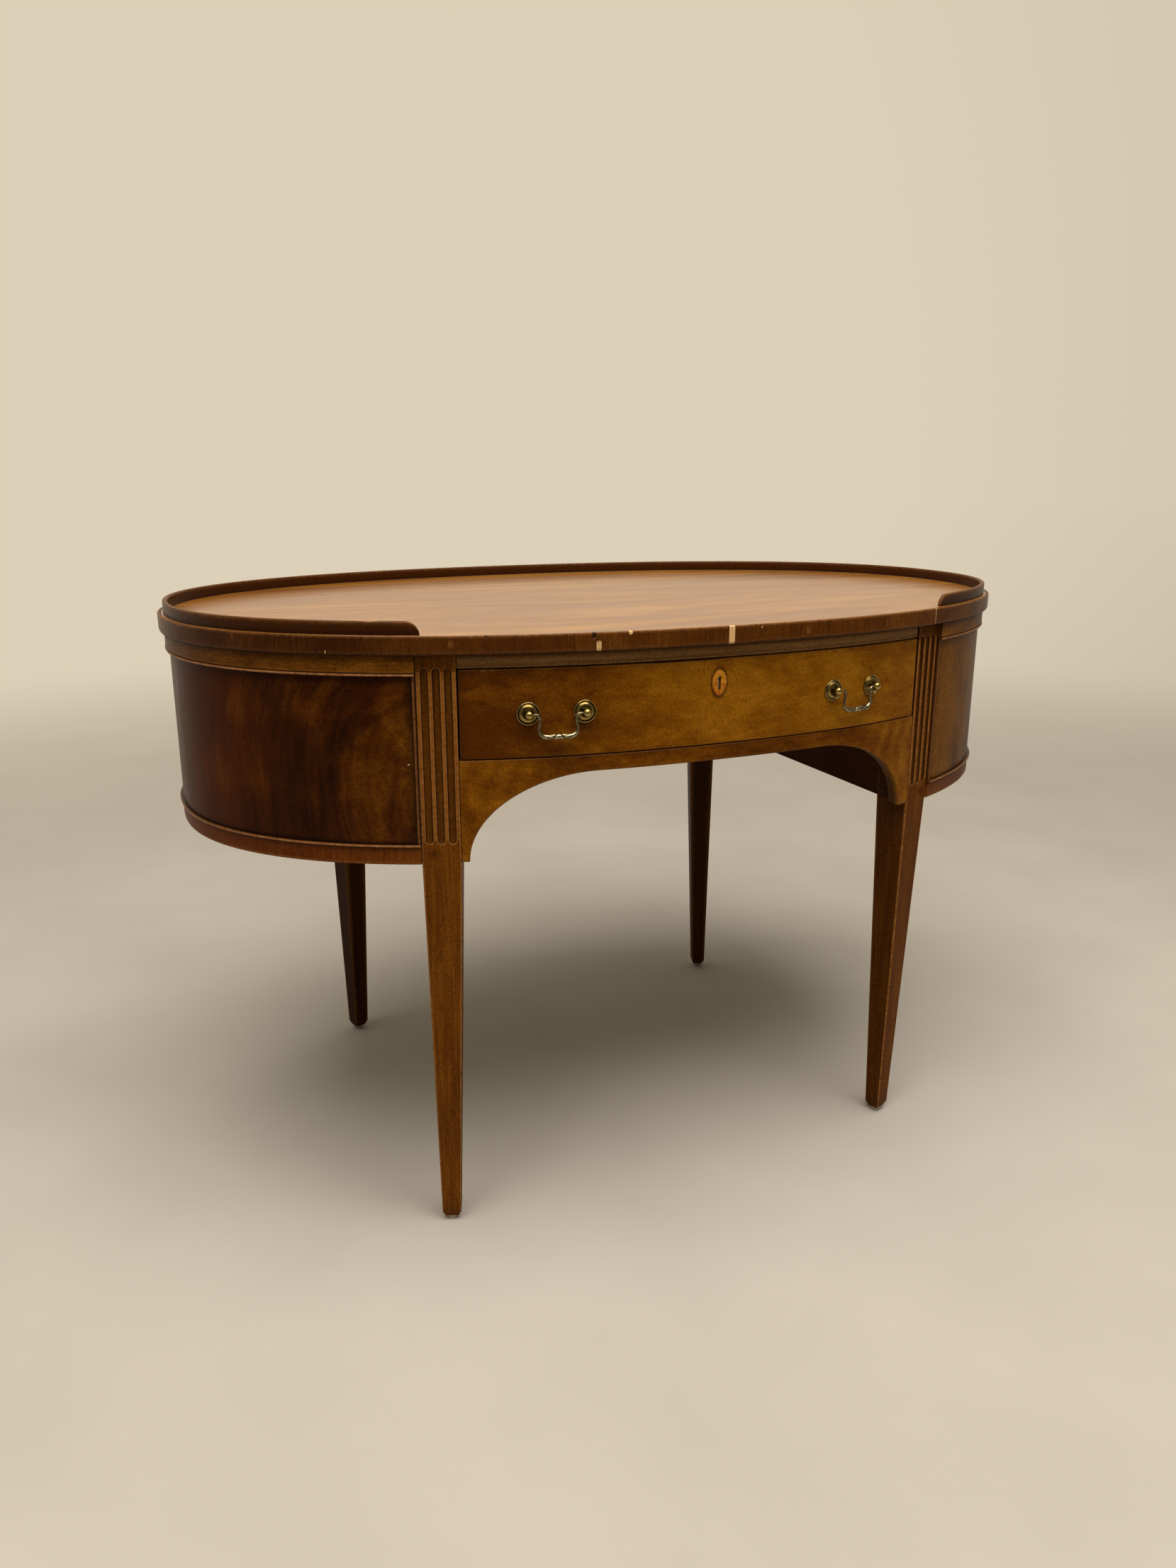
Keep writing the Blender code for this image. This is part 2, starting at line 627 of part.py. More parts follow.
def make_runner_mesh(back):
    """A bearer along the kneehole side, with an upstand that stops the drawer; `back` is its sign in y."""
    outer = knee_face() - FIT
    inner = outer - RUNNER_WIDTH
    reach = behind_post(outer) - FIT
    top = DRAWER_LOW - SLIDE_GAP
    stop = drawer_rear() + SLIDE_GAP
    low, high, end = top - RUNNER_HEIGHT, top + STOP_HEIGHT, stop + STOP_LENGTH
    outline = [(-reach, low), (reach, low), (reach, top), (end, top)]
    outline += [(end, high), (stop, high), (stop, top), (-reach, top)]
    sides = [[(x, back * y, z) for y, z in outline] for x in (inner, outer)]
    return sweep("runner", np.array(sides).transpose(1, 0, 2))


def make_kicker_mesh():
    outer = knee_face() - FIT
    reach = behind_post(outer) - FIT
    low = SIDE_TOP + DRAWER_GAP
    return box("kicker", (outer - RUNNER_WIDTH, -reach, low), (outer, reach, CARCASS_TOP))


def drawer_rear():
    """The y of the back ends of the drawer's sides."""
    return front_y(0, DRAWER_INSET) + DRAWER_LENGTH


def keyhole_outline(centre):
    """A round hole with a slot below it, as (x, z) points."""
    half = KEYHOLE_SLOT / 2
    opening = math.asin(half / KEYHOLE_RADIUS)
    turns = np.linspace(-math.pi / 2 + opening, 3 * math.pi / 2 - opening, 13)
    outline = [(KEYHOLE_RADIUS * math.cos(t), KEYHOLE_RADIUS * math.sin(t)) for t in turns]
    outline += [(-half, -KEYHOLE_LENGTH), (half, -KEYHOLE_LENGTH)]
    return [(centre[0] + x, centre[1] + z) for x, z in outline]


def ellipse_outline(width, height, centre):
    turns = np.linspace(0, 2 * math.pi, 29)[:-1]
    return [(centre[0] + width / 2 * math.cos(t), centre[1] + height / 2 * math.sin(t)) for t in turns]


def make_drawer(woods, brass, steel, bone):
    carriage = add_axis("drawer_carriage")
    inner_inset = DRAWER_INSET + DRAWER_FRONT
    front_profile = block_profile(DRAWER_INSET, DRAWER_FRONT, DRAWER_LOW, DRAWER_TOP)
    front_gaps = (DRAWER_LEFT_GAP, DRAWER_RIGHT_GAP)
    front_mesh = bent("drawer_front", front_profile, lambda inset: front_run(inset, front_gaps))
    front = add("drawer_front", front_mesh, woods["drawer"], carriage)

    side_outer = post_point(-POST_WIDTH / 2, POST_DEPTH)[0] - DRAWER_SIDE_GAP
    side_inner = side_outer - DRAWER_SIDE
    rear = drawer_rear()
    for name, sign in (("drawer_side_right", 1), ("drawer_side_left", -1)):
        ends = [(x, front_y(x, inner_inset + FIT)) for x in (side_inner, side_outer)]
        outline = [(sign * x, y) for x, y in ends + [(side_outer, rear), (side_inner, rear)]]
        add(name, prism(name, outline, DRAWER_LOW, SIDE_TOP), woods["lining"], carriage)

    reach = side_inner - FIT
    bottom_low = DRAWER_LOW + DRAWER_BOTTOM_LIFT
    bottom_top = bottom_low + DRAWER_BOTTOM
    bow = np.linspace(-reach, reach, FRONT_STATIONS)
    outline = list(zip(bow, front_y(bow, inner_inset + FIT))) + [(reach, rear), (-reach, rear)]
    add("drawer_bottom", prism("drawer_bottom", outline, bottom_low, bottom_top), woods["lining"], carriage)
    back = box("drawer_back", (-reach, rear - DRAWER_BACK, bottom_top + FIT), (reach, rear, SIDE_TOP))
    add("drawer_back", back, woods["lining"], carriage)

    make_lock(front, carriage, brass, steel, bone)
    make_handles(front, carriage, brass)


def make_lock(front, carriage, brass, steel, bone):
    face = front_y(HARDWARE_SHIFT, DRAWER_INSET)
    middle = (HARDWARE_SHIFT, DRAWER_TOP - ESCUTCHEON_DROP)
    recess_y = face + ESCUTCHEON_THICKNESS - ESCUTCHEON_PROUD
    recess = ellipse_outline(ESCUTCHEON_WIDTH + 2 * FIT, ESCUTCHEON_HEIGHT + 2 * FIT, middle)
    cut_away(front, "escutcheon_recess", plate("escutcheon_recess", recess, face - OVERCUT, recess_y + FIT))
    lock_near, lock_far = lock_place()
    keyhole = keyhole_outline((middle[0], middle[1] + (KEYHOLE_LENGTH - KEYHOLE_RADIUS) / 2))
    cut_away(front, "keyhole", plate("keyhole", keyhole, face - OVERCUT, lock_near + OVERCUT))

    oval = ellipse_outline(ESCUTCHEON_WIDTH, ESCUTCHEON_HEIGHT, middle)
    shield = add("escutcheon", plate("escutcheon", oval, face - ESCUTCHEON_PROUD, recess_y), bone, carriage)
    pierced = plate("escutcheon_keyhole", keyhole, face - OVERCUT, recess_y + OVERCUT)
    cut_away(shield, "escutcheon_keyhole", pierced)

    case_top = DRAWER_TOP - LOCK_TOP_MARGIN
    left, right = HARDWARE_SHIFT - LOCK_WIDTH / 2, HARDWARE_SHIFT + LOCK_WIDTH / 2
    case = box("lock_case", (left, lock_near, case_top - LOCK_HEIGHT), (right, lock_far, case_top))
    case = add("lock_case", case, steel, carriage)
    low, high = bolt_box(case_top, BOLT_GAP)
    cut_away(case, "bolt_slot", box("bolt_slot", low, (*high[:2], case_top + OVERCUT)))
    add("lock_bolt", box("lock_bolt", *bolt_box(case_top, 0)), brass, carriage)


def bolt_box(top, gap):
    """The two corners of the lock's bolt, standing in the middle of the case, grown by a gap."""
    middle_y = sum(lock_place()) / 2
    half_x, half_y = BOLT_WIDTH / 2 + gap, BOLT_DEPTH / 2 + gap
    low = (HARDWARE_SHIFT - half_x, middle_y - half_y, top - BOLT_HEIGHT - gap)
    return low, (HARDWARE_SHIFT + half_x, middle_y + half_y, top)


def rod_profile(start, end, radius):
    return [(start, 0), (start, radius), (end, radius), (end, 0)]


def rosette_profile():
    """A stepped, dished disc with a hole for the post: (reach, radius) round its section."""
    hole = SHANK_RADIUS + SHANK_GAP
    r, h = ROSETTE_RADIUS, ROSETTE_HEIGHT
    rim = [(0, hole), (0, r), (0.30 * h, r), (0.48 * h, 0.93 * r), (0.36 * h, 0.84 * r)]
    dome = [(0.52 * h, 0.72 * r), (0.86 * h, 0.50 * r), (h, 0.36 * r), (h, hole)]
    return rim + dome


def post_profile():
    """A shank through the drawer's front, a neck over the rosette and a ball."""
    tail = DRAWER_FRONT + SHANK_TAIL
    neck_foot = ROSETTE_HEIGHT + 2 * FIT
    meet = math.asin(NECK_RADIUS / BALL_RADIUS)
    turns = np.linspace(math.pi - meet, 0, 9)
    section = [(-tail, 0), (-tail, SHANK_RADIUS), (neck_foot, SHANK_RADIUS), (neck_foot, NECK_RADIUS)]
    section += [(BALL_REACH + BALL_RADIUS * math.cos(t), BALL_RADIUS * math.sin(t)) for t in turns]
    section[-1] = (BALL_REACH + BALL_RADIUS, 0)
    return section


def handle_frame(centre_x):
    """Where a handle's two posts leave the bowed front, and the way each looks."""
    angles = np.linspace(-math.pi, 0, OVAL_SAMPLES)
    line, normal = oval_frame(angles, DRAWER_INSET)
    steps = np.concatenate([[0], np.cumsum(np.linalg.norm(np.diff(line, axis=0), axis=1))])
    middle = np.interp(centre_x, line[:, 0], steps)
    frames = []
    for side in (-1, 1):
        at = middle + side * HANDLE_CENTRES / 2
        point, out = ([np.interp(at, steps, v[:, axis]) for axis in (0, 1)] for v in (line, normal))
        frames.append((np.array(point), np.array(out) / np.linalg.norm(out)))
    return frames


def make_handles(front, carriage, brass):
    hole = SHANK_RADIUS + SHANK_GAP
    nut_profile = [(0, hole), (0, NUT_RADIUS), (NUT_HEIGHT, NUT_RADIUS), (NUT_HEIGHT, hole)]
    rosette = turned("rosette", rosette_profile(), closed=True)
    nut = turned("handle_nut", nut_profile, steps=6, closed=True)
    bore = turned("shank_hole", rod_profile(-DRAWER_FRONT - OVERCUT, OVERCUT, hole), 12)
    ball_hole = turned("pin_hole", rod_profile(-BALL_RADIUS / 3, 2 * BALL_RADIUS, PIN_HOLE_RADIUS), 10)
    for name, way_out in (("left", -1), ("right", 1)):
        frames = handle_frame(HARDWARE_SHIFT + way_out * HANDLE_SPACING / 2)
        balls = [point + BALL_REACH * out for point, out in frames]
        span = balls[1] - balls[0]
        middle = (balls[0] + balls[1]) / 2
        axis_turn = math.atan2(span[1], span[0])
        axis = add_axis("bail_axis_" + name, carriage, axis_turn, (*middle, HANDLE_HEIGHT))
        sides = ("outer", "inner")[::-way_out]
        for side, (point, out), way in zip(sides, frames, (1, -1)):
            turn = math.atan2(out[0], -out[1])
            seat = (*point, HANDLE_HEIGHT)
            cut_away(front, f"shank_hole_{name}_{side}", bore, turn, seat)
            lifted = (*(point + FIT * out), HANDLE_HEIGHT)
            add(f"rosette_{name}_{side}", rosette, brass, carriage, turn, lifted)
            post = turned("handle_post", post_profile(), 14)
            post = add(f"handle_post_{name}_{side}", post, brass, carriage, turn, seat)
            ball = (*(point + BALL_REACH * out), HANDLE_HEIGHT)
            cut_away(post, f"pin_hole_{name}_{side}", ball_hole, axis_turn + way * math.pi / 2, ball)
            back = (*(point - (DRAWER_FRONT + NUT_HEIGHT + 2 * FIT) * out), HANDLE_HEIGHT)
            add(f"handle_nut_{name}_{side}", nut, brass, carriage, turn, back)
        add(f"bail_{name}", make_bail_curve(np.linalg.norm(span) / 2), brass, axis)


def make_bail_curve(half):
    """A swan-neck bail: pins in the two balls, necks drawn in and dropping to a thicker grip."""
    arm, drop = half - BAIL_SHOULDER, BAIL_DROP
    side = [
        (half - BALL_RADIUS / 8, 0, PIN_RADIUS),
        (half - BALL_RADIUS, 0, PIN_RADIUS),
        (arm + 0.33 * BAIL_SHOULDER, -0.01 * drop, BAIL_RADIUS),
        (arm, -0.20 * drop, BAIL_RADIUS),
        (arm + 0.02 * BAIL_SHOULDER, -0.48 * drop, BAIL_RADIUS),
        (arm + 0.11 * BAIL_SHOULDER, -0.66 * drop, BAIL_RADIUS),
        (arm - 0.02 * BAIL_SHOULDER, -0.86 * drop, BAIL_RADIUS),
        (0.45 * arm, -drop, GRIP_RADIUS),
    ]
    route = [(-x, z, r) for x, z, r in side] + [(0, -drop, GRIP_RADIUS)] + side[::-1]
    curve = bpy.data.curves.new("bail", "CURVE")
    curve.dimensions = "3D"
    curve.resolution_u = 3
    curve.bevel_depth = 1.0
    curve.bevel_resolution = 1
    curve.use_fill_caps = True
    spline = curve.splines.new("BEZIER")
    spline.bezier_points.add(len(route) - 1)
    for knot, (x, z, radius) in zip(spline.bezier_points, route):
        knot.co = (x, 0, z)
        knot.radius = radius
        knot.handle_left_type = "AUTO"
        knot.handle_right_type = "AUTO"
    return curve


def main():
    for old in list(bpy.data.objects):
        bpy.data.objects.remove(old, do_unlink=True)
    woods = {
        "top": make_material("polished_mahogany_top", "#7a4718", 0.22),
        "edge": make_material("cross_banded_mahogany", "#4a2712", 0.35),
        "post": make_material("solid_mahogany", "#5d3210", 0.38),
        "panel": make_material("figured_mahogany_veneer", "#452206", 0.32),
        "drawer": make_material("drawer_front_mahogany", "#583205", 0.34),
        "bead": make_material("worn_mahogany_bead", "#7d5029", 0.42),
        "inner": make_material("unpolished_carcass_wood", "#2f1c10", 0.65),
        "lining": make_material("drawer_lining_oak", "#a07a4c", 0.60),
    }
    brass = make_material("antique_brass", "#a5905a", 0.30, 1.0)
    steel = make_material("dull_steel", "#6d6e64", 0.45, 1.0)
    bone = make_material("boxwood_inlay", "#be7328", 0.45)
    make_top(woods)
    make_legs(woods, steel)
    make_ends(woods)
    make_front_and_back(woods)
    make_drawer(woods, brass, steel, bone)
    bpy.context.view_layer.update()


main()
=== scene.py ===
import math

import bmesh
import bpy
import numpy as np
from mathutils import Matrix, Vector


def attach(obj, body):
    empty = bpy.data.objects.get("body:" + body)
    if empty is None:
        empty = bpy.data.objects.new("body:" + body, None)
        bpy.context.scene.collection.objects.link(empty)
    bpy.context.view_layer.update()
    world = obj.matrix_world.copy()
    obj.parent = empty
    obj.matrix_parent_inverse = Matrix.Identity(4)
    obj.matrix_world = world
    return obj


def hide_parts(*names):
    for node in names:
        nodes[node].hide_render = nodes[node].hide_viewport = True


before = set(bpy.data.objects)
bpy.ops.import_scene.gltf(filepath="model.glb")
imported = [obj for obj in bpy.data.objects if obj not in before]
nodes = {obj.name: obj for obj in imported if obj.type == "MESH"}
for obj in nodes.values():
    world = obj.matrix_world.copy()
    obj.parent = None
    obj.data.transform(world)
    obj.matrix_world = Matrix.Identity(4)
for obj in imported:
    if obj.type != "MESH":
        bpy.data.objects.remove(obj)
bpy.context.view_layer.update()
chance = np.random.default_rng(11)   # seeded, so every run gives the same desk
print("frame loaded:", len(nodes), "nodes")

# the whole desk: an oval |x/a|^p + |y/b|^p = 1, and four posts standing on it
desk = {
    "width": 1.176, "depth": 0.732, "power": 2.24,
    "topHeight": 0.735, "topThickness": 0.021, "casing": 0.237,
    "postSpacing": 0.655, "postInset": 0.013, "postWidth": 0.0445, "postDepth": 0.046,
    "fit": 0.0003,   # the gap between neighbours
    "fine": 2880,    # points that a bow is measured at
}
fit, fine = desk["fit"], desk["fine"]
topHeight = desk["topHeight"]
underside = topHeight - desk["topThickness"]
carcassTop = underside - fit
casingLow = underside - desk["casing"]


# sRGB hex to the linear RGBA that a socket takes
def toLinear(colour):
    parts = np.array([int(colour[i:i + 2], 16) for i in (1, 3, 5)]) / 255
    parts = np.where(parts <= 0.04045, parts / 12.92, ((parts + 0.055) / 1.055) ** 2.4)
    return (*parts, 1.0)


# one node, new or already there: its settings go to its properties or sockets, its links come from
# other nodes' outputs, its ramp is pairs of place and colour; out says which output is handed back
def addNode(tree, kind, settings=None, links=None, ramp=(), out=0):
    made = tree.nodes.new("ShaderNode" + kind) if isinstance(kind, str) else kind
    for key, value in (settings or {}).items():
        if isinstance(key, str) and hasattr(made, key):
            setattr(made, key, value)
        else:
            made.inputs[key].default_value = value
    for key, source in (links or {}).items():
        tree.links.new(source, made.inputs[key])
    if ramp:
        stops = made.color_ramp.elements
        while len(stops) < len(ramp):
            stops.new(0.5)
        for stop, (place, colour) in zip(stops, ramp):
            stop.position, stop.color = place, toLinear(colour)
    return made.outputs[out]


def newMaterial(name):
    made = bpy.data.materials.new(name)
    made.use_nodes = True
    return made, made.node_tree, made.node_tree.nodes["Principled BSDF"]


# Polished wood from layered noise. Long, wide pairs are in mm along and across the grain.
# figure gives the broad light and dark, streak the growth lines, ripple the chatoyant mottle, pore the
# short dark lines, speck the dirt in the polish. wear, grime, pale, tone and blush are
# point attributes, zero where a piece has none; grime darkens for dirt and for painted shade, and
# wear lightens for wear and for painted highlights. coords and sweep name what the fine and the
# broad layers are laid along.
def makeWood(name, look):
    made, tree, shader = newMaterial(name)
    whole = addNode(tree, "TexCoord", out="Object")
    place, sweep = (whole if key == "object" else
                    addNode(tree, "Attribute", {"attribute_name": key}, out="Vector")
                    for key in (look["coords"], look["sweep"]))
    mark = {key: addNode(tree, "Attribute", {"attribute_name": key}, out="Fac")
            for key in ("tone", "blush", "wear", "grime", "pale")}
    layers = {"figure": {"Detail": 3.0, "Distortion": look["swirl"]},
              "streak": {"Detail": 5.0, "Roughness": 0.62, "Distortion": 0.35},
              "ripple": {"Detail": 2.0, "Distortion": 0.6}, "pore": {"Detail": 1.5}}
    noise = {}
    for layer, settings in layers.items():
        size = [look[layer][1] / 1000] * 3
        size["xyz".index(look["along"])] = look[layer][0] / 1000
        turn = look["rippleTurn"] if layer == "ripple" else (0, 0, 0)
        laid = addNode(tree, "Mapping", {"vector_type": "TEXTURE", "Scale": size, "Rotation": turn},
                       {"Vector": sweep if layer in ("figure", "streak") else place})
        noise[layer] = addNode(tree, "TexNoise", {"Scale": 1.0} | settings, {"Vector": laid})
    for layer, detail, roughness in (("broken", 4.0, 0.65), ("speck", 3.0, 0.7)):
        noise[layer] = addNode(tree, "TexNoise", {"Scale": 1000 / look[layer], "Detail": detail,
                                                  "Roughness": roughness}, {"Vector": place})

    # what each noise is spread over: its own range, then the range that it gives
    spread = {}
    for key, layer, *limits in (
            ("lift", "ripple", 0.32, 0.68, 1 - look["mottle"], 1 + look["mottle"]),
            ("fleck", "speck", 0.30, 0.62, 1 - look["age"], 1.0),
            ("line", "pore", 0.58, 0.68, 0.0, look["poreDepth"]),
            ("rubbed", "broken", 0.34, 0.60, 0.12, look["rub"]),   # wear never runs as one even line
            ("dirt", "broken", 0.25, 0.65, 0.55, 0.95),
            ("bare", "broken", 0.0, 1.0, 0.5, 1.4),
            ("rough", "streak", 0.3, 0.7, look["roughness"] - 0.05, look["roughness"] + 0.07)):
        limits = dict(zip(("From Min", "From Max", "To Min", "To Max"), limits))
        spread[key] = addNode(tree, "MapRange", limits, {"Value": noise[layer]})
    rubbed, dirt, bare = (addNode(tree, "Math", {"operation": "MULTIPLY", "use_clamp": clamped},
                                  {0: spread[key], 1: mark[by]})
                          for key, by, clamped in (("rubbed", "wear", True), ("dirt", "grime", True),
                                                   ("bare", "pale", False)))
    # bare core wood shows where the pale attribute and the noise together pass a threshold
    bare = addNode(tree, "MapRange", {"From Min": 0.46, "From Max": 0.58}, {"Value": bare})

    share = look["figureShare"]
    body = addNode(tree, "Math", {"operation": "MULTIPLY", 1: share}, {0: noise["figure"]})
    body = addNode(tree, "Math", {"operation": "MULTIPLY_ADD", 1: 1 - share}, {0: noise["streak"], 2: body})
    body = addNode(tree, "Math", {"operation": "ADD"}, {0: body, 1: mark["tone"]})
    colour = addNode(tree, "ValToRGB", {}, {"Fac": body}, [*zip(look["stops"], look["colours"])])
    lift = addNode(tree, "Math", {"operation": "MULTIPLY"}, {0: spread["lift"], 1: spread["fleck"]})
    colour = addNode(tree, "Mix", {"data_type": "RGBA", "blend_type": "MULTIPLY", 0: 1.0},
                     {6: colour, 7: lift}, out=2)
    for amount, paint in ((spread["line"], "poreColour"), (mark["blush"], "blushColour"),
                          (rubbed, "wornColour"), (dirt, "grimeColour")):
        colour = addNode(tree, "Mix", {"data_type": "RGBA", 7: toLinear(look[paint])},
                         {0: amount, 6: colour}, out=2)
    core = addNode(tree, "ValToRGB", {}, {"Fac": noise["streak"]}, [(0.3, "#b98a52"), (0.7, "#ecca95")])
    colour = addNode(tree, "Mix", {"data_type": "RGBA"}, {0: bare, 6: colour, 7: core}, out=2)

    # rubbed and bare wood is duller; pores are sunk, and the growth lines stand up a little
    rough = addNode(tree, "Math", {"operation": "MULTIPLY_ADD", 1: 0.16}, {0: rubbed, 2: spread["rough"]})
    rough = addNode(tree, "Math", {"operation": "MULTIPLY_ADD", 1: 0.3, "use_clamp": True},
                    {0: bare, 2: rough})
    relief = addNode(tree, "Math", {"operation": "MULTIPLY", 1: -1.0}, {0: spread["line"]})
    relief = addNode(tree, "Math", {"operation": "MULTIPLY_ADD", 1: 0.5}, {0: noise["streak"], 2: relief})
    bump = addNode(tree, "Bump", {"Strength": look["relief"], "Distance": 0.0004}, {"Height": relief})
    addNode(tree, shader, {"IOR": 1.5, "Specular IOR Level": look["gloss"], "Coat Weight": look["coat"],
                           "Coat Roughness": look["coatRoughness"]},
            {"Base Color": colour, "Roughness": rough, "Normal": bump})
    return made


# what every mahogany finish on the desk shares; each finish below changes some of it
mahogany = {
    "coords": "grain", "sweep": "grain", "along": "x", "swirl": 1.1, "figureShare": 0.45,
    "figure": (320, 70), "streak": (130, 3.2),
    "ripple": (9, 3.0), "rippleTurn": (0, -0.85, 0), "mottle": 0.10,
    "pore": (6.0, 0.8), "poreColour": "#1f0c02", "poreDepth": 0.40,   # pores are drawn three times too wide
    "speck": 3.0, "age": 0.38,   # specks of dirt in the old polish, drawn larger than life
    "broken": 1000 / 190, "rub": 0.75,   # how wear, dirt and painted shade break up: about 5 mm, and how far wear shows
    "wornColour": "#8a4d16", "grimeColour": "#0f0602", "blushColour": "#3c1202",
    "roughness": 0.40, "relief": 0.22, "gloss": 0.10, "coat": 0.04, "coatRoughness": 0.2,
    "stops": (0.28, 0.50, 0.72),   # where the dark, middle and light colours lie on the noise
}

# French polished mahogany board, faded by light: honey brown with long quiet grain under a clear gloss
topWood = makeWood("frenchPolishedMahoganyTop", mahogany | {
    "figure": (520, 80), "streak": (340, 4.0), "figureShare": 0.58, "swirl": 1.8,
    "ripple": (60, 14), "rippleTurn": (0, 0, 0.5), "mottle": 0.06, "age": 0.14,
    "pore": (9, 1.0), "poreColour": "#4a280a", "poreDepth": 0.35,
    "stops": (0.30, 0.50, 0.70), "colours": ("#64390c", "#835318", "#9f6f2b"),
    "roughness": 0.24, "relief": 0.08, "gloss": 0.30, "coat": 0.22, "coatRoughness": 0.10})
# cross-cut mahogany lipping, glued on in lengths: dark, with short upright grain
bandWood = makeWood("crossCutMahoganyLipping", mahogany | {
    "along": "z", "figure": (90, 60), "streak": (40, 3.0), "ripple": (30, 5), "rippleTurn": (0, 0, 0),
    "mottle": 0.06, "pore": (7, 0.9), "colours": ("#3a1b04", "#562e08", "#724411"), "wornColour": "#7a5028",
    "roughness": 0.36, "gloss": 0.06, "coat": 0.06, "coatRoughness": 0.14})
# solid mahogany, planed and fluted: upright grain, tawny on the rubbed edges, with painted shade in the
# hollows
legWood = makeWood("planedSolidMahogany", mahogany | {
    "along": "z", "figure": (420, 45), "streak": (170, 3.0), "ripple": (5, 2.2), "rippleTurn": (0, 0.3, 0),
    "mottle": 0.12, "pore": (3.5, 0.8), "colours": ("#442004", "#663808", "#845011"),
    "wornColour": "#a8743e", "grimeColour": "#120802", "blushColour": "#6a2c08",
    "roughness": 0.42, "gloss": 0.03, "coat": 0.02})
# mahogany cross-banding: short upright flecks on a warm brown band
crossWood = makeWood("mahoganyCrossBanding", mahogany | {
    "along": "z", "figure": (60, 90), "streak": (26, 3.4), "rippleTurn": (0, 0, 0), "mottle": 0.06,
    "pore": (6, 1.1), "poreDepth": 0.5, "colours": ("#481f05", "#6b3a08", "#8e5915"),
    "wornColour": "#8a5a26", "blushColour": "#54200a", "gloss": 0.05, "coat": 0.02})
# quarter-cut mahogany frieze: golden brown with short level flecks and dark specks
friezeWood = makeWood("quarterCutMahoganyFrieze", mahogany | {
    "figure": (110, 40), "streak": (14, 2.6), "ripple": (4, 1.2), "rippleTurn": (0, 0, 0), "mottle": 0.12,
    "pore": (3.2, 0.8), "poreDepth": 0.5, "colours": ("#482404", "#6b3f08", "#8e5d17"),
    "wornColour": "#8a5a26", "gloss": 0.05, "coat": 0.02})
# crotch-cut mahogany veneer, hand polished: dark chocolate with a red glow and feathered lighter clouds
endVeneer = makeWood("crotchCutMahoganyVeneer", mahogany | {
    "sweep": "curl", "figure": (90, 55), "streak": (60, 9.0), "figureShare": 0.55, "swirl": 0.9,
    "ripple": (5, 1.6), "rippleTurn": (0, 0, 0), "mottle": 0.16, "pore": (4.5, 0.9), "poreDepth": 0.42,
    "stops": (0.26, 0.48, 0.60, 0.78, 1.0),
    "colours": ("#1e0a01", "#3a1903", "#502904", "#683e08", "#7a4e12"),
    "blushColour": "#562303", "roughness": 0.34, "gloss": 0.03, "coat": 0.05, "coatRoughness": 0.10})
# plain-sliced mahogany veneer with a fine slanting ripple: amber brown, silky
drawerVeneer = makeWood("rippledMahoganyVeneer", mahogany | {
    "figure": (120, 60), "streak": (22, 9.0), "figureShare": 0.58, "ripple": (3.6, 1.3), "mottle": 0.30,
    "pore": (2.2, 1.1), "poreDepth": 0.16, "speck": 1.6, "age": 0.26, "wornColour": "#8a5c2c",
    "colours": ("#502801", "#744303", "#94600d"), "roughness": 0.38, "gloss": 0.05, "coat": 0.02})
# mahogany bead run with a scratch stock: a thin rubbed line, lighter on its nose
beadWood = makeWood("scratchedMahoganyBead", mahogany | {
    "streak": (60, 1.6), "colours": ("#40200a", "#5e340c", "#7a4a18"), "wornColour": "#a87448", "rub": 1.0})
# mahogany rail, planed and dulled: a plain grey brown with long fine lines
railWood = makeWood("planedMahoganyRail", mahogany | {
    "streak": (110, 2.2), "colours": ("#4f3217", "#764f25", "#98703f"), "wornColour": "#9a7344"})
# carcass wood stained dark and never polished: brown black and dull
carcassWood = makeWood("stainedCarcassWood", mahogany | {
    "coords": "object", "sweep": "object", "along": "y", "colours": ("#241105", "#391d08", "#4d2d11"),
    "roughness": 0.62, "gloss": 0.02, "coat": 0.0, "relief": 0.4})
# bare quartered oak for the drawer's box: pale tan with open pores
oakLining = makeWood("bareDrawerOak", mahogany | {
    "coords": "object", "sweep": "object", "along": "y", "streak": (180, 2.6), "age": 0.2,
    "pore": (12, 0.9), "poreColour": "#6d4a26", "poreDepth": 0.55,
    "colours": ("#8a6437", "#a57c4a", "#bd9661"), "roughness": 0.58, "coat": 0.0, "relief": 0.45})
# boxwood turned to an oval and waxed: close grain, orange tan, with painted shade at its rim
boxWood = makeWood("waxedBoxwood", mahogany | {
    "along": "z", "figure": (14, 7), "streak": (9, 1.1), "mottle": 0.16, "speck": 1.1, "age": 0.5,
    "pore": (1.4, 0.8), "poreColour": "#5a2505", "poreDepth": 0.6,
    "colours": ("#783a04", "#b8680c", "#dc9426"), "wornColour": "#e6a850", "grimeColour": "#2b1004",
    "roughness": 0.45})
print("woods made")
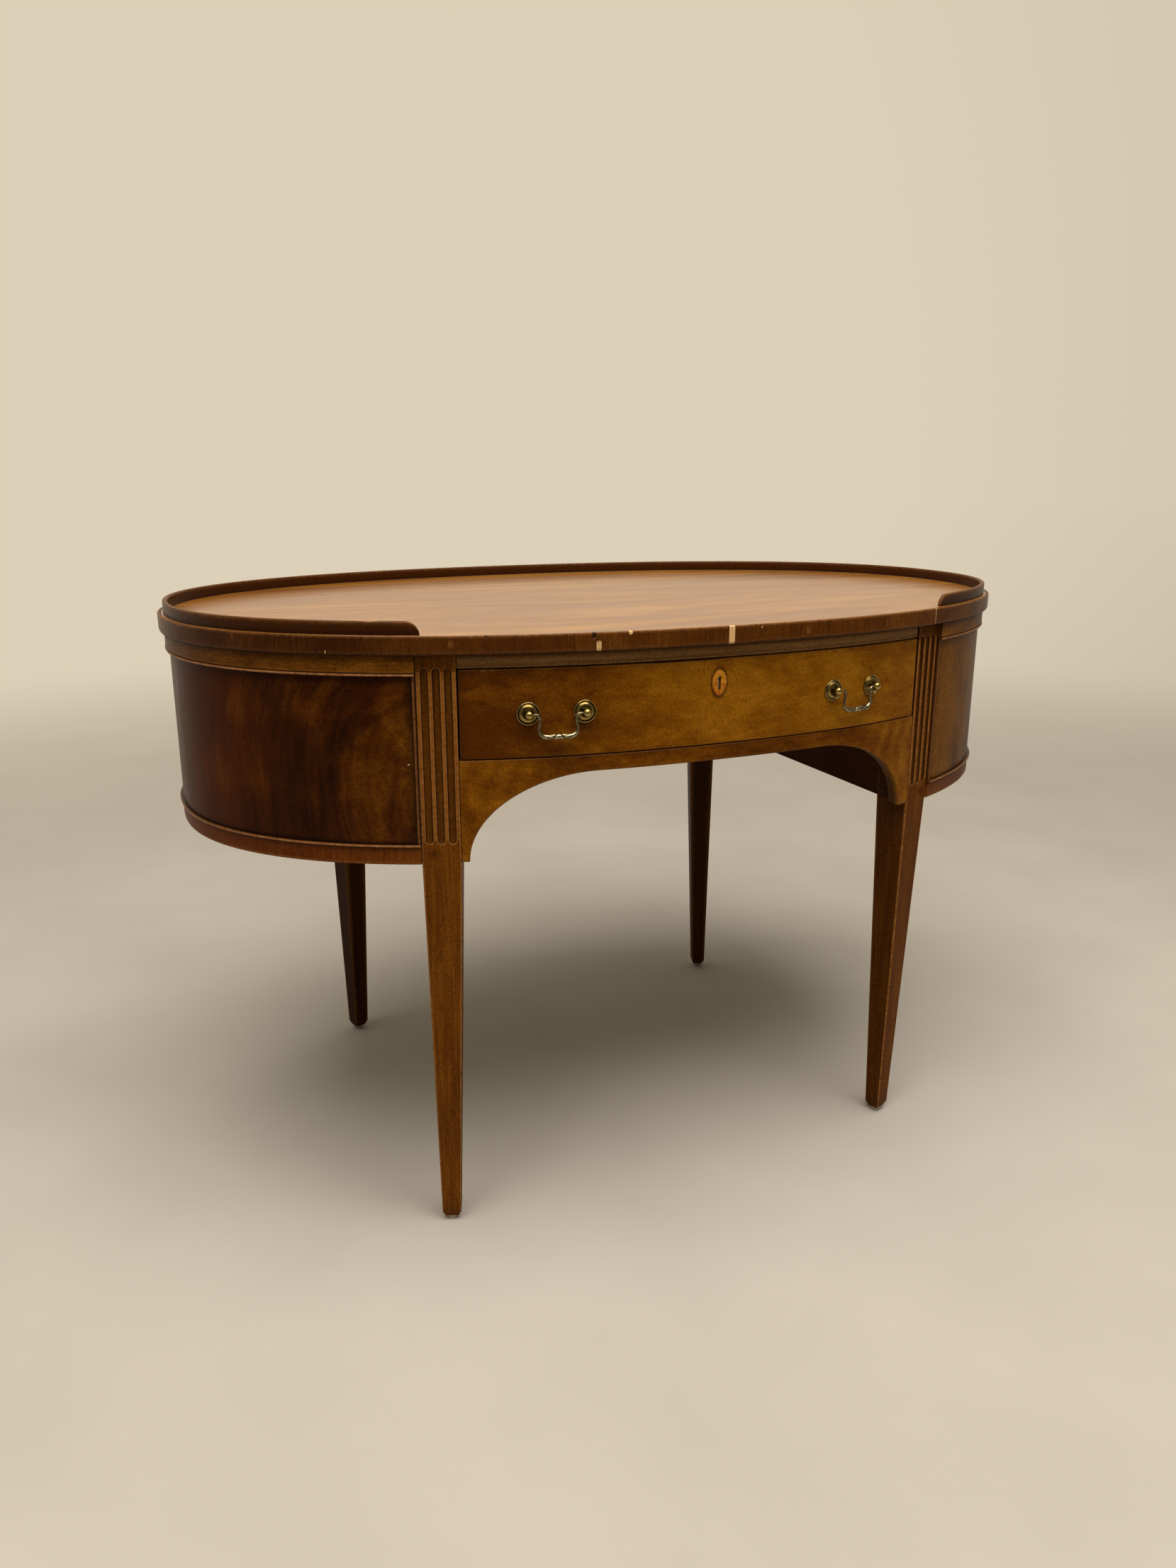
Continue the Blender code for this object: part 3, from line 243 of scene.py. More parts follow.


# Cast metal: patina lies in the hollows and in painted shade (grime), and bright metal shows where hands
# rub (wear).
# cloud and grit are sizes in mm.
def makeMetal(name, look):
    made, tree, shader = newMaterial(name)
    place = addNode(tree, "TexCoord", out="Object")
    grime, wear = (addNode(tree, "Attribute", {"attribute_name": key}, out="Fac")
                   for key in ("grime", "wear"))
    cloud = addNode(tree, "TexNoise", {"Scale": 1000 / look["cloud"], "Detail": 4.0, "Roughness": 0.6},
                    {"Vector": place})
    grit = addNode(tree, "TexNoise", {"Scale": 1000 / look["grit"], "Detail": 2.0}, {"Vector": place})
    patina = addNode(tree, "MapRange", {"From Min": 0.25, "From Max": 0.7, "To Min": 0.6, "To Max": 1.0},
                     {"Value": cloud})
    patina = addNode(tree, "Math", {"operation": "MULTIPLY", "use_clamp": True}, {0: patina, 1: grime})
    colour = addNode(tree, "ValToRGB", {}, {"Fac": cloud}, [*zip((0.3, 0.5, 0.7), look["colours"])])
    for amount, paint in ((wear, "bright"), (patina, "patina")):
        colour = addNode(tree, "Mix", {"data_type": "RGBA", 7: toLinear(look[paint])},
                         {0: amount, 6: colour}, out=2)
    rough = addNode(tree, "MapRange", {"From Min": 0.3, "From Max": 0.7, "To Min": look["roughness"] - 0.06,
                                       "To Max": look["roughness"] + 0.1}, {"Value": cloud})
    rough = addNode(tree, "Math", {"operation": "MULTIPLY_ADD", 1: 0.25}, {0: patina, 2: rough})
    bump = addNode(tree, "Bump", {"Strength": 0.12, "Distance": 0.0002}, {"Height": grit})
    addNode(tree, shader, {"Metallic": 1.0}, {"Base Color": colour, "Roughness": rough, "Normal": bump})
    return made


# cast brass, lacquer long gone: olive gold, brown in the hollows, bright on the rubbed domes
oldBrass = makeMetal("antiqueCastBrass", {
    "cloud": 6, "grit": 0.7, "roughness": 0.22, "bright": "#c8ae6a", "patina": "#1a1006",
    "colours": ("#514018", "#6f5a29", "#8e773e")})
# the bails are handled most: olive bronze, silvery where the thumb goes
bailBrass = makeMetal("handledCastBrass", {
    "cloud": 4, "grit": 0.6, "roughness": 0.25, "bright": "#cbc4a8", "patina": "#16110a",
    "colours": ("#4e4328", "#746646", "#9c9070")})
# rolled steel lock plate, dulled: grey with a green cast
lockSteel = makeMetal("dulledLockSteel", {
    "cloud": 8, "grit": 0.8, "roughness": 0.46, "bright": "#cdd0c2", "patina": "#2c2a22",
    "colours": ("#686b60", "#808376", "#989b8c")})
# pressed nickel glide, scuffed by the floor: pale grey and dull
glideSteel = makeMetal("scuffedNickelGlide", {
    "cloud": 5, "grit": 0.6, "roughness": 0.42, "bright": "#c9c6bd", "patina": "#4a463d",
    "colours": ("#8f8b80", "#a8a498", "#bdb9ae")})
print("metals made")


# Points of the oval drawn inset inside the top's edge, and the outward normals there:
# the edge point in each direction, moved in along the normal of |x/a|^p + |y/b|^p.
def ovalAt(angles, inset):
    half, power = np.array([desk["width"], desk["depth"]]) / 2, desk["power"]
    way = np.stack([np.cos(angles), np.sin(angles)], axis=-1)
    edge = way * ((np.abs(way / half) ** power).sum(-1) ** (-1 / power))[..., None]
    slope = np.sign(edge) * np.abs(edge / half) ** (power - 1) / half
    normal = slope / np.linalg.norm(slope, axis=-1, keepdims=True)
    return edge - inset * normal, normal


# the length run along a line of points up to each of them
def runLength(line):
    return np.concatenate([[0], np.cumsum(np.linalg.norm(np.diff(line, axis=0), axis=1))])


# points of a line read off at these places, straight between its own
def pickAt(at, places, line):
    return np.stack([np.interp(at, places, line[:, k]) for k in range(line.shape[1])], axis=-1)


# 0 up to low and 1 from high on, with t * t * (3 - 2 t) between
def smoothStep(low, high, values):
    part = np.clip((values - low) / (high - low), 0, 1)
    return part * part * (3 - 2 * part)


# 1 at the middle, falling off on both sides as exp(-(distance / width)^power)
def hump(values, middle, width, power=2):
    return np.exp(-((values - middle) / width) ** power)


def lifted(plan, heights):   # a grid of (x, y) and the heights that go with it
    return np.concatenate([plan, np.broadcast_to(heights, plan.shape[:2])[..., None]], axis=2)


def joined(stretches):   # rows of values for each stretch of an outline, joined column by column
    return [np.concatenate(column) for column in zip(*(np.broadcast_arrays(*row) for row in stretches))]


quarter = np.linspace(-math.pi / 2, 0, fine)
frontHalf = np.linspace(-math.pi, 0, 2 * fine)
postAngle = np.interp(desk["postSpacing"] / 2, ovalAt(quarter, desk["postInset"])[0][:, 0], quarter)
postMiddle, postOut = (v[0] for v in ovalAt(np.array([postAngle]), desk["postInset"]))
postAlong = np.array([-postOut[1], postOut[0]])
postTurn = math.atan2(postOut[0], -postOut[1])


# The oval at one inset from one post's side face to the next, at these shares of its length
def bowBetween(inset, shares, start, end, sides, gaps):
    line = ovalAt(np.linspace(start, end, fine), inset)[0]
    places = np.arange(len(line))
    limits = []
    for side, sense, gap in zip(sides, (1, -1), gaps):
        middle, along = postMiddle * side, postAlong * side
        along = along if middle[0] * along[1] > middle[1] * along[0] else -along
        clear = sense * ((line - middle) @ along) - desk["postWidth"] / 2 - gap
        limits.append(np.interp(0, sense * clear, places))
    cut = pickAt(np.linspace(*limits, fine), places, line)
    lengths = runLength(cut)
    return pickAt(np.asarray(shares) * lengths[-1], lengths, cut), lengths[-1]


def frontBow(inset, shares, gaps=(fit, fit)):
    return bowBetween(inset, shares, -math.pi - postAngle, postAngle, ((-1, 1), (1, 1)), gaps)


def endBow(inset, shares, gap=fit):
    return bowBetween(inset, shares, postAngle, -postAngle, ((1, 1), (1, -1)), (gap, gap))


# A closed outline with each corner turned to an arc, its long sides cut into steps.
# near is 1 on an arc and falls to 0 a little way off it; corner tells which arc a point belongs to.
def roundedOutline(corners, radii, steps=4, fade=0.002, step=0.006):
    corners = np.asarray(corners, float)
    points, near, corner = [], [], []
    for k, (spot, radius) in enumerate(zip(corners, radii)):
        back, ahead = corners[k - 1] - spot, corners[(k + 1) % len(corners)] - spot
        sizes = np.linalg.norm(back), np.linalg.norm(ahead)
        back, ahead = back / sizes[0], ahead / sizes[1]
        half = math.acos(np.clip(back @ ahead, -1, 1)) / 2
        reach = radius / math.tan(half)
        centre = spot + (back + ahead) / np.linalg.norm(back + ahead) * radius / math.sin(half)
        mix = np.linspace(0, 1, steps + 1)[:, None]
        arc = (spot + back * reach - centre) * (1 - mix) + (spot + ahead * reach - centre) * mix
        arc = centre + radius * arc / np.linalg.norm(arc, axis=1, keepdims=True)
        off = [min(reach + fade, 0.45 * size) for size in sizes]
        points += [spot + back * off[0], *arc, spot + ahead * off[1]]
        near += [0.0] + [1.0] * len(arc) + [0.0]
        corner += [k] * (len(arc) + 2)
    points, near, corner = np.array(points), np.array(near), np.array(corner)
    nextPoints = np.roll(points, -1, axis=0)
    cuts = np.maximum(1, np.ceil(np.linalg.norm(nextPoints - points, axis=1) / step).astype(int))
    which = np.repeat(np.arange(len(points)), cuts)
    part = (np.arange(len(which)) - np.repeat(np.cumsum(cuts) - cuts, cuts)) / np.repeat(cuts, cuts)
    outline = points[which] + part[:, None] * (nextPoints - points)[which]
    return outline, near[which] * (1 - part) + np.roll(near, -1)[which] * part, corner[which]


# Quads between neighbouring grid points. closed says which way of the grid joins up with itself;
# merge closes a row that has run together into a pole. A mark is spread over the grid by its shape.
def skin(name, grid, marks, closed=(False, True), caps=True, merge=False, crease=36):
    index = np.arange(grid.shape[0] * grid.shape[1]).reshape(grid.shape[:2])
    here = index if closed[0] else index[:-1]
    after = np.roll(index, -1, axis=0) if closed[0] else index[1:]
    keep = slice(None) if closed[1] else slice(None, -1)
    quads = np.stack([here, after, np.roll(after, -1, axis=1), np.roll(here, -1, axis=1)], axis=-1)[:, keep]
    faces = quads.reshape(-1, 4).tolist()
    if caps and not closed[0]:
        faces += [index[0].tolist(), index[-1].tolist()]
    mesh = bpy.data.meshes.new(name)
    mesh.from_pydata(grid.reshape(-1, 3).tolist(), [], faces)
    for key, values in marks.items():
        vector = np.ndim(values) == 3
        values = np.broadcast_to(values, grid.shape if vector else grid.shape[:2])
        layer = mesh.attributes.new(key, "FLOAT_VECTOR" if vector else "FLOAT", "POINT")
        values = np.ascontiguousarray(values, np.float32).ravel()
        layer.data.foreach_set("vector" if vector else "value", values)
    form = bmesh.new()
    form.from_mesh(mesh)
    if merge:
        bmesh.ops.remove_doubles(form, verts=form.verts, dist=2e-6)
    bmesh.ops.recalc_face_normals(form, faces=form.faces)
    form.to_mesh(mesh)
    form.free()
    mesh.shade_smooth()
    mesh.set_sharp_from_angle(angle=math.radians(crease))
    return mesh


# a finished piece: the body it rides on, the slot of its finish (not used) and the CAD nodes that it stands
# for
def setPiece(name, grid, marks, material, body, slot, *replaced, **form):
    piece = bpy.data.objects.new(name, skin(name, grid, marks, **form))
    piece.data.materials.append(material)
    bpy.context.scene.collection.objects.link(piece)
    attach(piece, body)
    if replaced:
        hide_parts(*replaced)


# the ring at the top's edge: angle and running length, and the length where the front passes an x
ringAngles = np.linspace(0, 2 * math.pi, 4 * fine + 1)
ringLengths = runLength(ovalAt(ringAngles, 0)[0])
ringSize = ringLengths[-1]


def frontLength(x):
    front = ringAngles >= math.pi
    return np.interp(x, ovalAt(ringAngles[front], 0)[0][:, 0], ringLengths[front])


# the flat top: rings of the oval drawn smaller and smaller to the middle, above and below
topBoard = {"bandWidth": 0.004, "stations": 360, "arrisIn": 0.0008, "arrisDown": 0.0004,
            "rings": (0.995, 0.97, 0.9, 0.75, 0.55, 0.35, 0.15, 0.0)}
ringAt = np.linspace(0, ringSize, topBoard["stations"], endpoint=False)
ringPlan = ovalAt(np.interp(ringAt, ringLengths, ringAngles), topBoard["bandWidth"] + fit)[0]
ringScale = np.array([0.0, 0.5, 1.0, 1.0, 1.0 - topBoard["arrisIn"], *topBoard["rings"]])
ringHeight = np.full(len(ringScale), topHeight)
ringHeight[:3], ringHeight[3] = underside, topHeight - topBoard["arrisDown"]
grid = lifted(ringPlan[None] * ringScale[:, None, None], ringHeight[:, None])
setPiece("topBoard", grid, {"grain": grid}, topWood, "carcass", "polished_top", "top_board",
         caps=False, merge=True)

# the lipping round the top: a rounded strip carried round the oval, glued on in lengths. Each mark, chip
# and scuff is a place on the front: its x, width, lowest and highest z, then how deep it is and how bare.
edgeBand = {
    "upperRound": 0.0012, "lowerRound": 0.0034, "backRound": 0.0003, "stations": 560,
    "joints": (-0.323, -0.186, -0.1622, 0.0015, 0.135, 0.2345, 0.3252, 0.47), "backLength": 0.31,
    "toneRange": (-0.09, 0.10), "leftShade": 0.10, "seamWidth": 0.0005, "ragged": 0.0006, "border": 0.0003,
    "frontX": (-0.34, 0.40), "frontStations": 500, "flawStations": 31, "faceDepth": 0.0035,
    "openLeft": (-0.36, -0.30), "openRight": (0.36, 0.42), "chippedAt": -0.12, "chippedRun": 0.09,
    "marks": ((0.0015, 0.0078, 0.7145, 0.7355, 0.0012, 1.0),
              (-0.1586, 0.0058, 0.7145, 0.7262, 0.0010, 0.85),
              (-0.1225, 0.0046, 0.7318, 0.7355, 0.0009, 0.9),
              (0.3252, 0.0013, 0.7145, 0.7355, 0.0003, 0.75),
              (0.0404, 0.0026, 0.7303, 0.7333, 0.0004, 0.55),
              (-0.3230, 0.0011, 0.7165, 0.7330, 0.0002, 0.62),
              (-0.4367, 0.0014, 0.7155, 0.7205, 0.0002, 0.62)),
    "chips": ((-0.1640, 0.0046, 0.7290, 0.7355, 0.0012), (-0.2790, 0.0030, 0.7325, 0.7355, 0.0008)),
    "scuffs": ((-0.3150, 0.0060, 0.7230, 0.7300), (-0.5228, 0.0020, 0.7270, 0.7340),
               (0.2345, 0.0024, 0.7170, 0.7310), (0.2400, 0.0014, 0.7180, 0.7300),
               (0.1050, 0.0060, 0.7200, 0.7290), (0.2290, 0.0030, 0.7200, 0.7280)),
}
bandWidth = topBoard["bandWidth"]
outline, near, corner = roundedOutline(
    [(0, underside), (0, topHeight), (bandWidth, topHeight), (bandWidth, underside)],
    [edgeBand[key] for key in ("lowerRound", "upperRound", "backRound", "backRound")], steps=5, step=0.0011)
joints = frontLength(np.array(edgeBand["joints"]))
backJoints = np.arange(joints[-1] + 0.35, joints[0] + ringSize - 0.2, edgeBand["backLength"]) % ringSize
joints = np.sort(np.concatenate([joints, backJoints]))
# stations all round, close together at every joint and flaw and along the front
spots = [np.linspace(0, ringSize, edgeBand["stations"], endpoint=False),
         frontLength(np.linspace(*edgeBand["frontX"], edgeBand["frontStations"]))]
spots += [joint + np.array([-0.0006, -0.0002, 0.0002, 0.0006]) for joint in joints]
spots += [frontLength(x) + np.linspace(-0.62, 0.62, edgeBand["flawStations"]) * width
          for key in ("marks", "chips", "scuffs") for x, width, *rest in edgeBand[key]]
spots = np.unique(np.round(np.concatenate(spots) % ringSize, 6))
spots = spots[np.append(np.diff(spots) > 5e-5, True)]
edge, normal = ovalAt(np.interp(spots, ringLengths, ringAngles), 0)
edgeX = edge[:, 0]
raggedZ = outline[:, 1] + edgeBand["ragged"] * np.sin(spots * 2900 + 3 * np.sin(spots * 700))[:, None]


# 1 inside a place on the band's outer face, falling to 0 over a ragged border
def flawArea(x, width, low, high):
    border = edgeBand["border"]
    across = 1 - smoothStep(0.42, 0.55, np.abs(spots - frontLength(x)) / width)
    above, below = (smoothStep(z - border, z + border, raggedZ) for z in (low, high))
    return across[:, None] * (above * (1 - below)) * (outline[:, 0] < edgeBand["faceDepth"])


pale, sunk, dark, scuff = np.zeros((4, len(spots), len(outline)))
for *area, depth, bare in edgeBand["marks"]:
    pale, sunk = np.maximum(pale, bare * flawArea(*area)), np.maximum(sunk, depth * flawArea(*area))
for *area, depth in edgeBand["chips"]:
    dark, sunk = np.maximum(dark, 0.9 * flawArea(*area)), np.maximum(sunk, depth * flawArea(*area))
for area in edgeBand["scuffs"]:
    scuff = np.maximum(scuff, 0.8 * flawArea(*area))
# the upper edge of the open front is chipped to the bare wood, most just left of the middle
onFront = smoothStep(*edgeBand["openLeft"], edgeX) * (1 - smoothStep(*edgeBand["openRight"], edgeX))
onFront = (edge[:, 1] < 0) * onFront
upperEdge = hump(np.maximum(0, topHeight - 0.0006 - outline[:, 1]), 0, 0.0009) * (outline[:, 0] < 0.0022)
chipped = 0.36 + 0.08 * np.sin(edgeX * 23 + 1.0)
chipped = chipped + 0.08 * hump(edgeX, edgeBand["chippedAt"], edgeBand["chippedRun"])
pale = np.maximum(pale, (onFront * chipped)[:, None] * upperEdge)
tone = chance.uniform(*edgeBand["toneRange"], len(joints) + 1)   # one for each length
tone[-1] = tone[0]   # the last stretch and the first are one length
# painted shade: the band is darkened towards its left end
tone = tone[np.searchsorted(joints, spots)] - edgeBand["leftShade"] * smoothStep(-0.34, -0.44, edgeX)
seam = hump(np.abs(spots[:, None] - joints).min(axis=1), 0, edgeBand["seamWidth"])
wear = near * np.isin(corner, (0, 1)) * np.where(corner == 1, 0.9, 0.35)
grid = lifted(edge[:, None] - (outline[:, 0] + sunk)[..., None] * normal[:, None], outline[:, 1])
setPiece("topEdgeBand", grid, {
    "grain": np.stack(np.broadcast_arrays(spots[:, None], outline[:, 0], outline[:, 1]), axis=-1),
    "pale": pale, "wear": np.maximum(scuff, wear * (0.6 + 0.4 * onFront[:, None])),
    "grime": np.maximum(0.75 * seam[:, None], dark), "tone": tone[:, None]},
    bandWood, "carcass", "crossband", "top_edge_band", closed=(True, True))
print("top and lipping laid")

# the gallery: a thin rim round the back and ends that drops in a quarter round at the front opening;
# its height along the run is sin of the turn there, and its rim is rounded by that height
gallery = {
    "inset": 0.007, "thickness": 0.006, "height": 0.0147, "round": 0.0021, "endRun": 0.015,
    "endHeight": 0.001, "endSetback": 0.005, "stations": 320,
    "toneAt": (0, 0.3, 0.31, 0.75, 0.76, 1.2, 1.6, 1.61, 2.2, 2.4),   # metres from the right end
    "tones": (0.0, 0.06, -0.05, 0.03, 0.08, -0.04, 0.05, -0.06, 0.02, -0.02), "toneAll": -0.36,
    "chipsAt": 0.055, "chipsRun": 0.026,   # small chips along the rim near its left end
    "patchAt": 0.262, "patchRun": 0.0085, "patchTone": 0.16,   # a lighter let-in piece, front left
    "dirtHeight": 0.0012, "endRub": (0.01, 0.03),
}
rimRound, rimThick = gallery["round"], gallery["thickness"]
rimEndX = (postMiddle + postAlong * desk["postWidth"] / 2)[0] - gallery["endSetback"]
turns = np.linspace(0, math.pi / 2, 18)
drop = gallery["endRun"] * (1 - np.cos(turns))
rise = gallery["endHeight"] + (gallery["height"] - gallery["endHeight"]) * np.sin(turns)
rimHeight = np.concatenate([rise, np.full(gallery["stations"] - 2, gallery["height"]), rise[::-1]])[:, None]


# one line of the rim: the oval at this inset from end to end, read off where the ends drop and between
def galleryRail(inset):
    start = np.interp(rimEndX, ovalAt(quarter, inset)[0][:, 0], quarter)
    line = ovalAt(np.linspace(start, math.pi - start, 2 * fine), inset)[0]
    lengths = runLength(line)
    middle = np.linspace(gallery["endRun"], lengths[-1] - gallery["endRun"], gallery["stations"])[1:-1]
    at = np.concatenate([drop, middle, lengths[-1] - drop[::-1]])
    return pickAt(at, lengths, line), at


arc = np.linspace(0, math.pi / 2, 6)
roundIn = rimRound * (1 - np.cos(arc))
rimIn = np.concatenate([[0, 0, 0], roundIn, rimThick - roundIn[::-1], [rimThick] * 3])
roundOff = np.minimum(rimRound, rimHeight / 2)
sides = (rimHeight - roundOff) * np.array([0.0, 0.35, 0.75])
over = rimHeight - roundOff * (1 - np.sin(arc))
rimLift = np.concatenate([sides, over, over[:, ::-1], sides[:, ::-1]], axis=1)
rails, rimAt = zip(*(galleryRail(gallery["inset"] + inset) for inset in rimIn))
rails, rimAt = np.stack(rails, axis=1), np.stack(rimAt, axis=1)
rimTop = smoothStep(0.55, 1.0, rimLift / np.maximum(rimHeight, 1e-4))
fromLeft = rimAt.max(axis=0) - rimAt
endWear = 1 - smoothStep(*gallery["endRub"], np.minimum(rimAt, fromLeft))
patch = gallery["patchTone"] * hump(fromLeft, gallery["patchAt"], gallery["patchRun"], 8)
rimTone = np.interp(rimAt[:, :1], gallery["toneAt"], gallery["tones"])
setPiece("galleryRim", lifted(rails, topHeight + fit + rimLift), {
    "grain": np.stack(np.broadcast_arrays(rimAt, rimIn, rimLift), axis=-1),
    "wear": rimTop * (0.5 + 0.3 * endWear),
    "pale": 0.50 * rimTop ** 2 * hump(fromLeft, gallery["chipsAt"], gallery["chipsRun"], 4),
    # painted shade along the rim's foot, where it meets the top
    "grime": 0.6 * hump(rimLift, 0, gallery["dirtHeight"]), "tone": rimTone + patch + gallery["toneAll"]},
    bandWood, "carcass", "crossband", "gallery")
print("gallery laid")

# the legs: a rounded square section at each height; the outer face is scooped by three round-ended flutes,
# depth = sqrt(R^2 - dx^2 - dz^2) - (R - d), and below the casing each face tapers in
leg = {
    "arris": 0.0013, "taperOuter": 0.018, "taperInner": 0.006, "taperKnee": 0.0155, "taperEnd": 0.006,
    "footChamfer": 0.003, "footChamferHeight": 0.007, "glideHeight": 0.005,
    "flutes": 3, "fluteWidth": 0.0089, "flutePitch": 0.0129, "fluteDepth": 0.0028,
    "fluteTop": underside - 0.015, "fluteLow": casingLow + 0.023,
    "kneeDirt": (0.95, 0.60), "backDirt": 0.6, "backTone": -0.15,   # kneeDirt: painted shade on the post, on the taper
    # painted light: the front right post's lands are made lighter than the other posts'
    "landWear": 0.48, "landWearFrontRight": 0.6, "landToneFrontRight": 0.08,
    "topDirt": (0.706, 0.7135), "sunned": (0.63, 0.69),   # painted shade under the top, lighter lands: from z, to z
    "knotX": 0.009, "knotZ": 0.4885, "knotRows": (0.4965, 0.4795), "redAt": 0.612, "redRun": 0.045,
}
half, arris, fluteHalf = desk["postWidth"] / 2, leg["arris"], leg["fluteWidth"] / 2
fluteTop, fluteLow = leg["fluteTop"], leg["fluteLow"]
footLow = leg["glideHeight"] + fit
footTop = footLow + leg["footChamferHeight"]
fluteMiddles = (np.arange(leg["flutes"]) - (leg["flutes"] - 1) / 2) * leg["flutePitch"]
halfScoop = np.array([0.15, 0.4, 0.62, 0.8, 0.93, 1, 1.06, 1.16])   # closer where a flute's wall is steep
scoop = fluteHalf * np.concatenate([-halfScoop[::-1], halfScoop])
faceX = np.append((fluteMiddles[:, None] + scoop).ravel(), [-half + arris + 0.001, half - arris - 0.001])
faceX = np.sort(faceX)
endSteps = fluteHalf * (1 - np.cos(np.linspace(0, math.pi / 2, 16)))
levels = np.concatenate([
    [carcassTop, carcassTop - 0.0057, fluteTop + 0.0015, fluteTop + 0.0005], fluteTop - endSteps,
    np.linspace(fluteTop - 0.02, fluteLow + 0.02, 12), fluteLow + endSteps[::-1],
    [fluteLow - 0.0005, fluteLow - 0.0015], np.linspace(*leg["knotRows"], 8),
    [casingLow + 0.0004, casingLow], np.linspace(casingLow - 0.002, footTop, 22),
    np.linspace(footTop - 0.0006, footLow, 5)])
down = np.clip((casingLow - levels) / (casingLow - footTop), 0, 1)
tuck = leg["footChamfer"] * np.clip((footTop - levels) / leg["footChamferHeight"], 0, 1)
left, right = -half + leg["taperKnee"] * down + tuck, half - leg["taperEnd"] * down - tuck
front, back = leg["taperOuter"] * down + tuck, desk["postDepth"] - leg["taperInner"] * down - tuck
# round the section: each point is a share of the way across and back, plus a fixed step round the arris
bend = np.linspace(0, math.pi / 2, 5)
turnIn, turnOut = arris * (np.sin(bend) - 1), arris * (np.cos(bend) - 1)
sidePart = np.linspace(0.08, 0.92, 6)
shareX, stepX, shareY, stepY, onArris = joined((
    ((faceX + half) / (2 * half), 0.0, 0.0, 0.0, 0.0),
    (1.0, turnIn, 0.0, -turnOut, 1.0), (1.0, 0.0, sidePart, 0.0, 0.0),
    (1.0, turnOut, 1.0, turnIn, 1.0), (np.array([0.8, 0.5, 0.2]), 0.0, 1.0, 0.0, 0.0),
    (0.0, -turnIn, 1.0, turnOut, 1.0), (0.0, 0.0, sidePart[::-1], 0.0, 0.0),
    (0.0, -turnOut, 0.0, -turnIn, 1.0)))
sectionX = left[:, None] + shareX * (right - left)[:, None] + stepX
sectionY = front[:, None] + shareY * (back - front)[:, None] + stepY
sectionZ = np.broadcast_to(levels[:, None], sectionX.shape)
scoopRadius = (fluteHalf ** 2 + leg["fluteDepth"] ** 2) / (2 * leg["fluteDepth"])
beyond = np.maximum(0, np.maximum(sectionZ - (fluteTop - fluteHalf), fluteLow + fluteHalf - sectionZ))
aside = np.abs(sectionX[..., None] - fluteMiddles).min(axis=-1)
reachIn = np.sqrt(np.maximum(scoopRadius ** 2 - aside ** 2 - beyond ** 2, 0))
onFace = (shareY == 0) & (stepY == 0)
sectionY = sectionY + np.maximum(0, reachIn - (scoopRadius - leg["fluteDepth"])) * onFace
fromFlute = np.where(onFace, np.hypot(aside, beyond) / fluteHalf, 9.0)   # 1 on a flute's rim
onPost = (levels > casingLow + 0.001)[:, None]
# painted shade: the arris that is turned into the drawer's gap is kept dark
kneeArris = onPost * (shareX == 0) * (shareY == 0) * (stepY > 0.2 * arris)
lands = onFace * onPost * smoothStep(1.0, 1.1, fromFlute) * (beyond <= 0)
# painted shade: the steep walls of a flute are darkened, and each flute's floor less so
hollow = smoothStep(0.48, 0.70, fromFlute) * (1 - smoothStep(0.92, 0.99, fromFlute))
legWear = np.maximum(onArris * np.where(onPost, 0.85, 0.75), 1.2 * hump(fromFlute, 1.02, 0.08) * onPost)
legWear = legWear * (1 - kneeArris)
# painted shade in the flute hollows and on the post just under the top
legShade = np.maximum(0.98 * hollow, 0.48 * (fromFlute < 0.9)) + 0.5 * smoothStep(*leg["topDirt"], sectionZ)
# painted shade on the knee side of each leg, strongest on the post
legShade = np.maximum(legShade, np.where(onPost, *leg["kneeDirt"]) * (shareX == 0) * (shareY > 0))
legShade = np.maximum(legShade, 0.98 * kneeArris)
legTone = lands * (0.03 + 0.10 * smoothStep(*leg["sunned"], sectionZ)) + 0.05 * (fromFlute < 0.7)
knot = hump(sectionX, leg["knotX"], 0.006) * hump(sectionZ, leg["knotZ"], 0.0045)
legTone = legTone - 0.22 * knot * onFace
places = {"FrontRight": (1, -1, postTurn, 1), "FrontLeft": (-1, -1, -postTurn, -1),
          "BackRight": (1, 1, math.pi - postTurn, -1), "BackLeft": (-1, 1, math.pi + postTurn, 1)}
for k, (place, (signX, signY, turn, hand)) in enumerate(places.items()):
    isBack, isFrontRight = signY > 0, k == 0
    x, y, cosTurn, sinTurn = hand * sectionX, sectionY, math.cos(turn), math.sin(turn)
    grid = np.stack([x * cosTurn - y * sinTurn + signX * abs(postMiddle[0]),
                     x * sinTurn + y * cosTurn + signY * abs(postMiddle[1]), sectionZ], axis=-1)
    landWear = leg["landWearFrontRight"] if isFrontRight else leg["landWear"]
    setPiece("leg" + place, grid, {
        "grain": np.stack([x + 0.3 * k, y, sectionZ + 0.7 * k], axis=-1),
        "wear": np.maximum(legWear, landWear * lands),
        # painted shade: the back legs are darkened all over
        "grime": np.maximum(legShade, leg["backDirt"] if isBack else 0),
        "blush": 0.3 * lands * hump(sectionZ, leg["redAt"], leg["redRun"]),
        "tone": legTone + (leg["backTone"] if isBack else 0.04 * (k % 2))
        + (leg["landToneFrontRight"] * lands if isFrontRight else 0)},
        legWood, "carcass", "solid_mahogany",
        "leg_" + place.replace("Left", "_left").replace("Right", "_right").lower(), crease=40)
print("legs cut")


# A profile of (inset, z) points carried along a bow: every profile point has its own run on the oval.
# grain is the same board laid out straight: length along the bow, depth from its face, height.
def carry(outline, run, shares, turned=False, fromFar=False):
    rails, lengths = zip(*(run(inset, shares) for inset in outline[:, 0]))
    plan, along = np.stack(rails, axis=1), np.multiply.outer(shares, lengths)
    if fromFar:
        along = along.max(axis=0) - along
    grid = lifted(-plan if turned else plan, outline[:, 1])
    return grid, np.stack([along, np.broadcast_to(outline[:, 0], along.shape), grid[..., 2]], axis=-1)


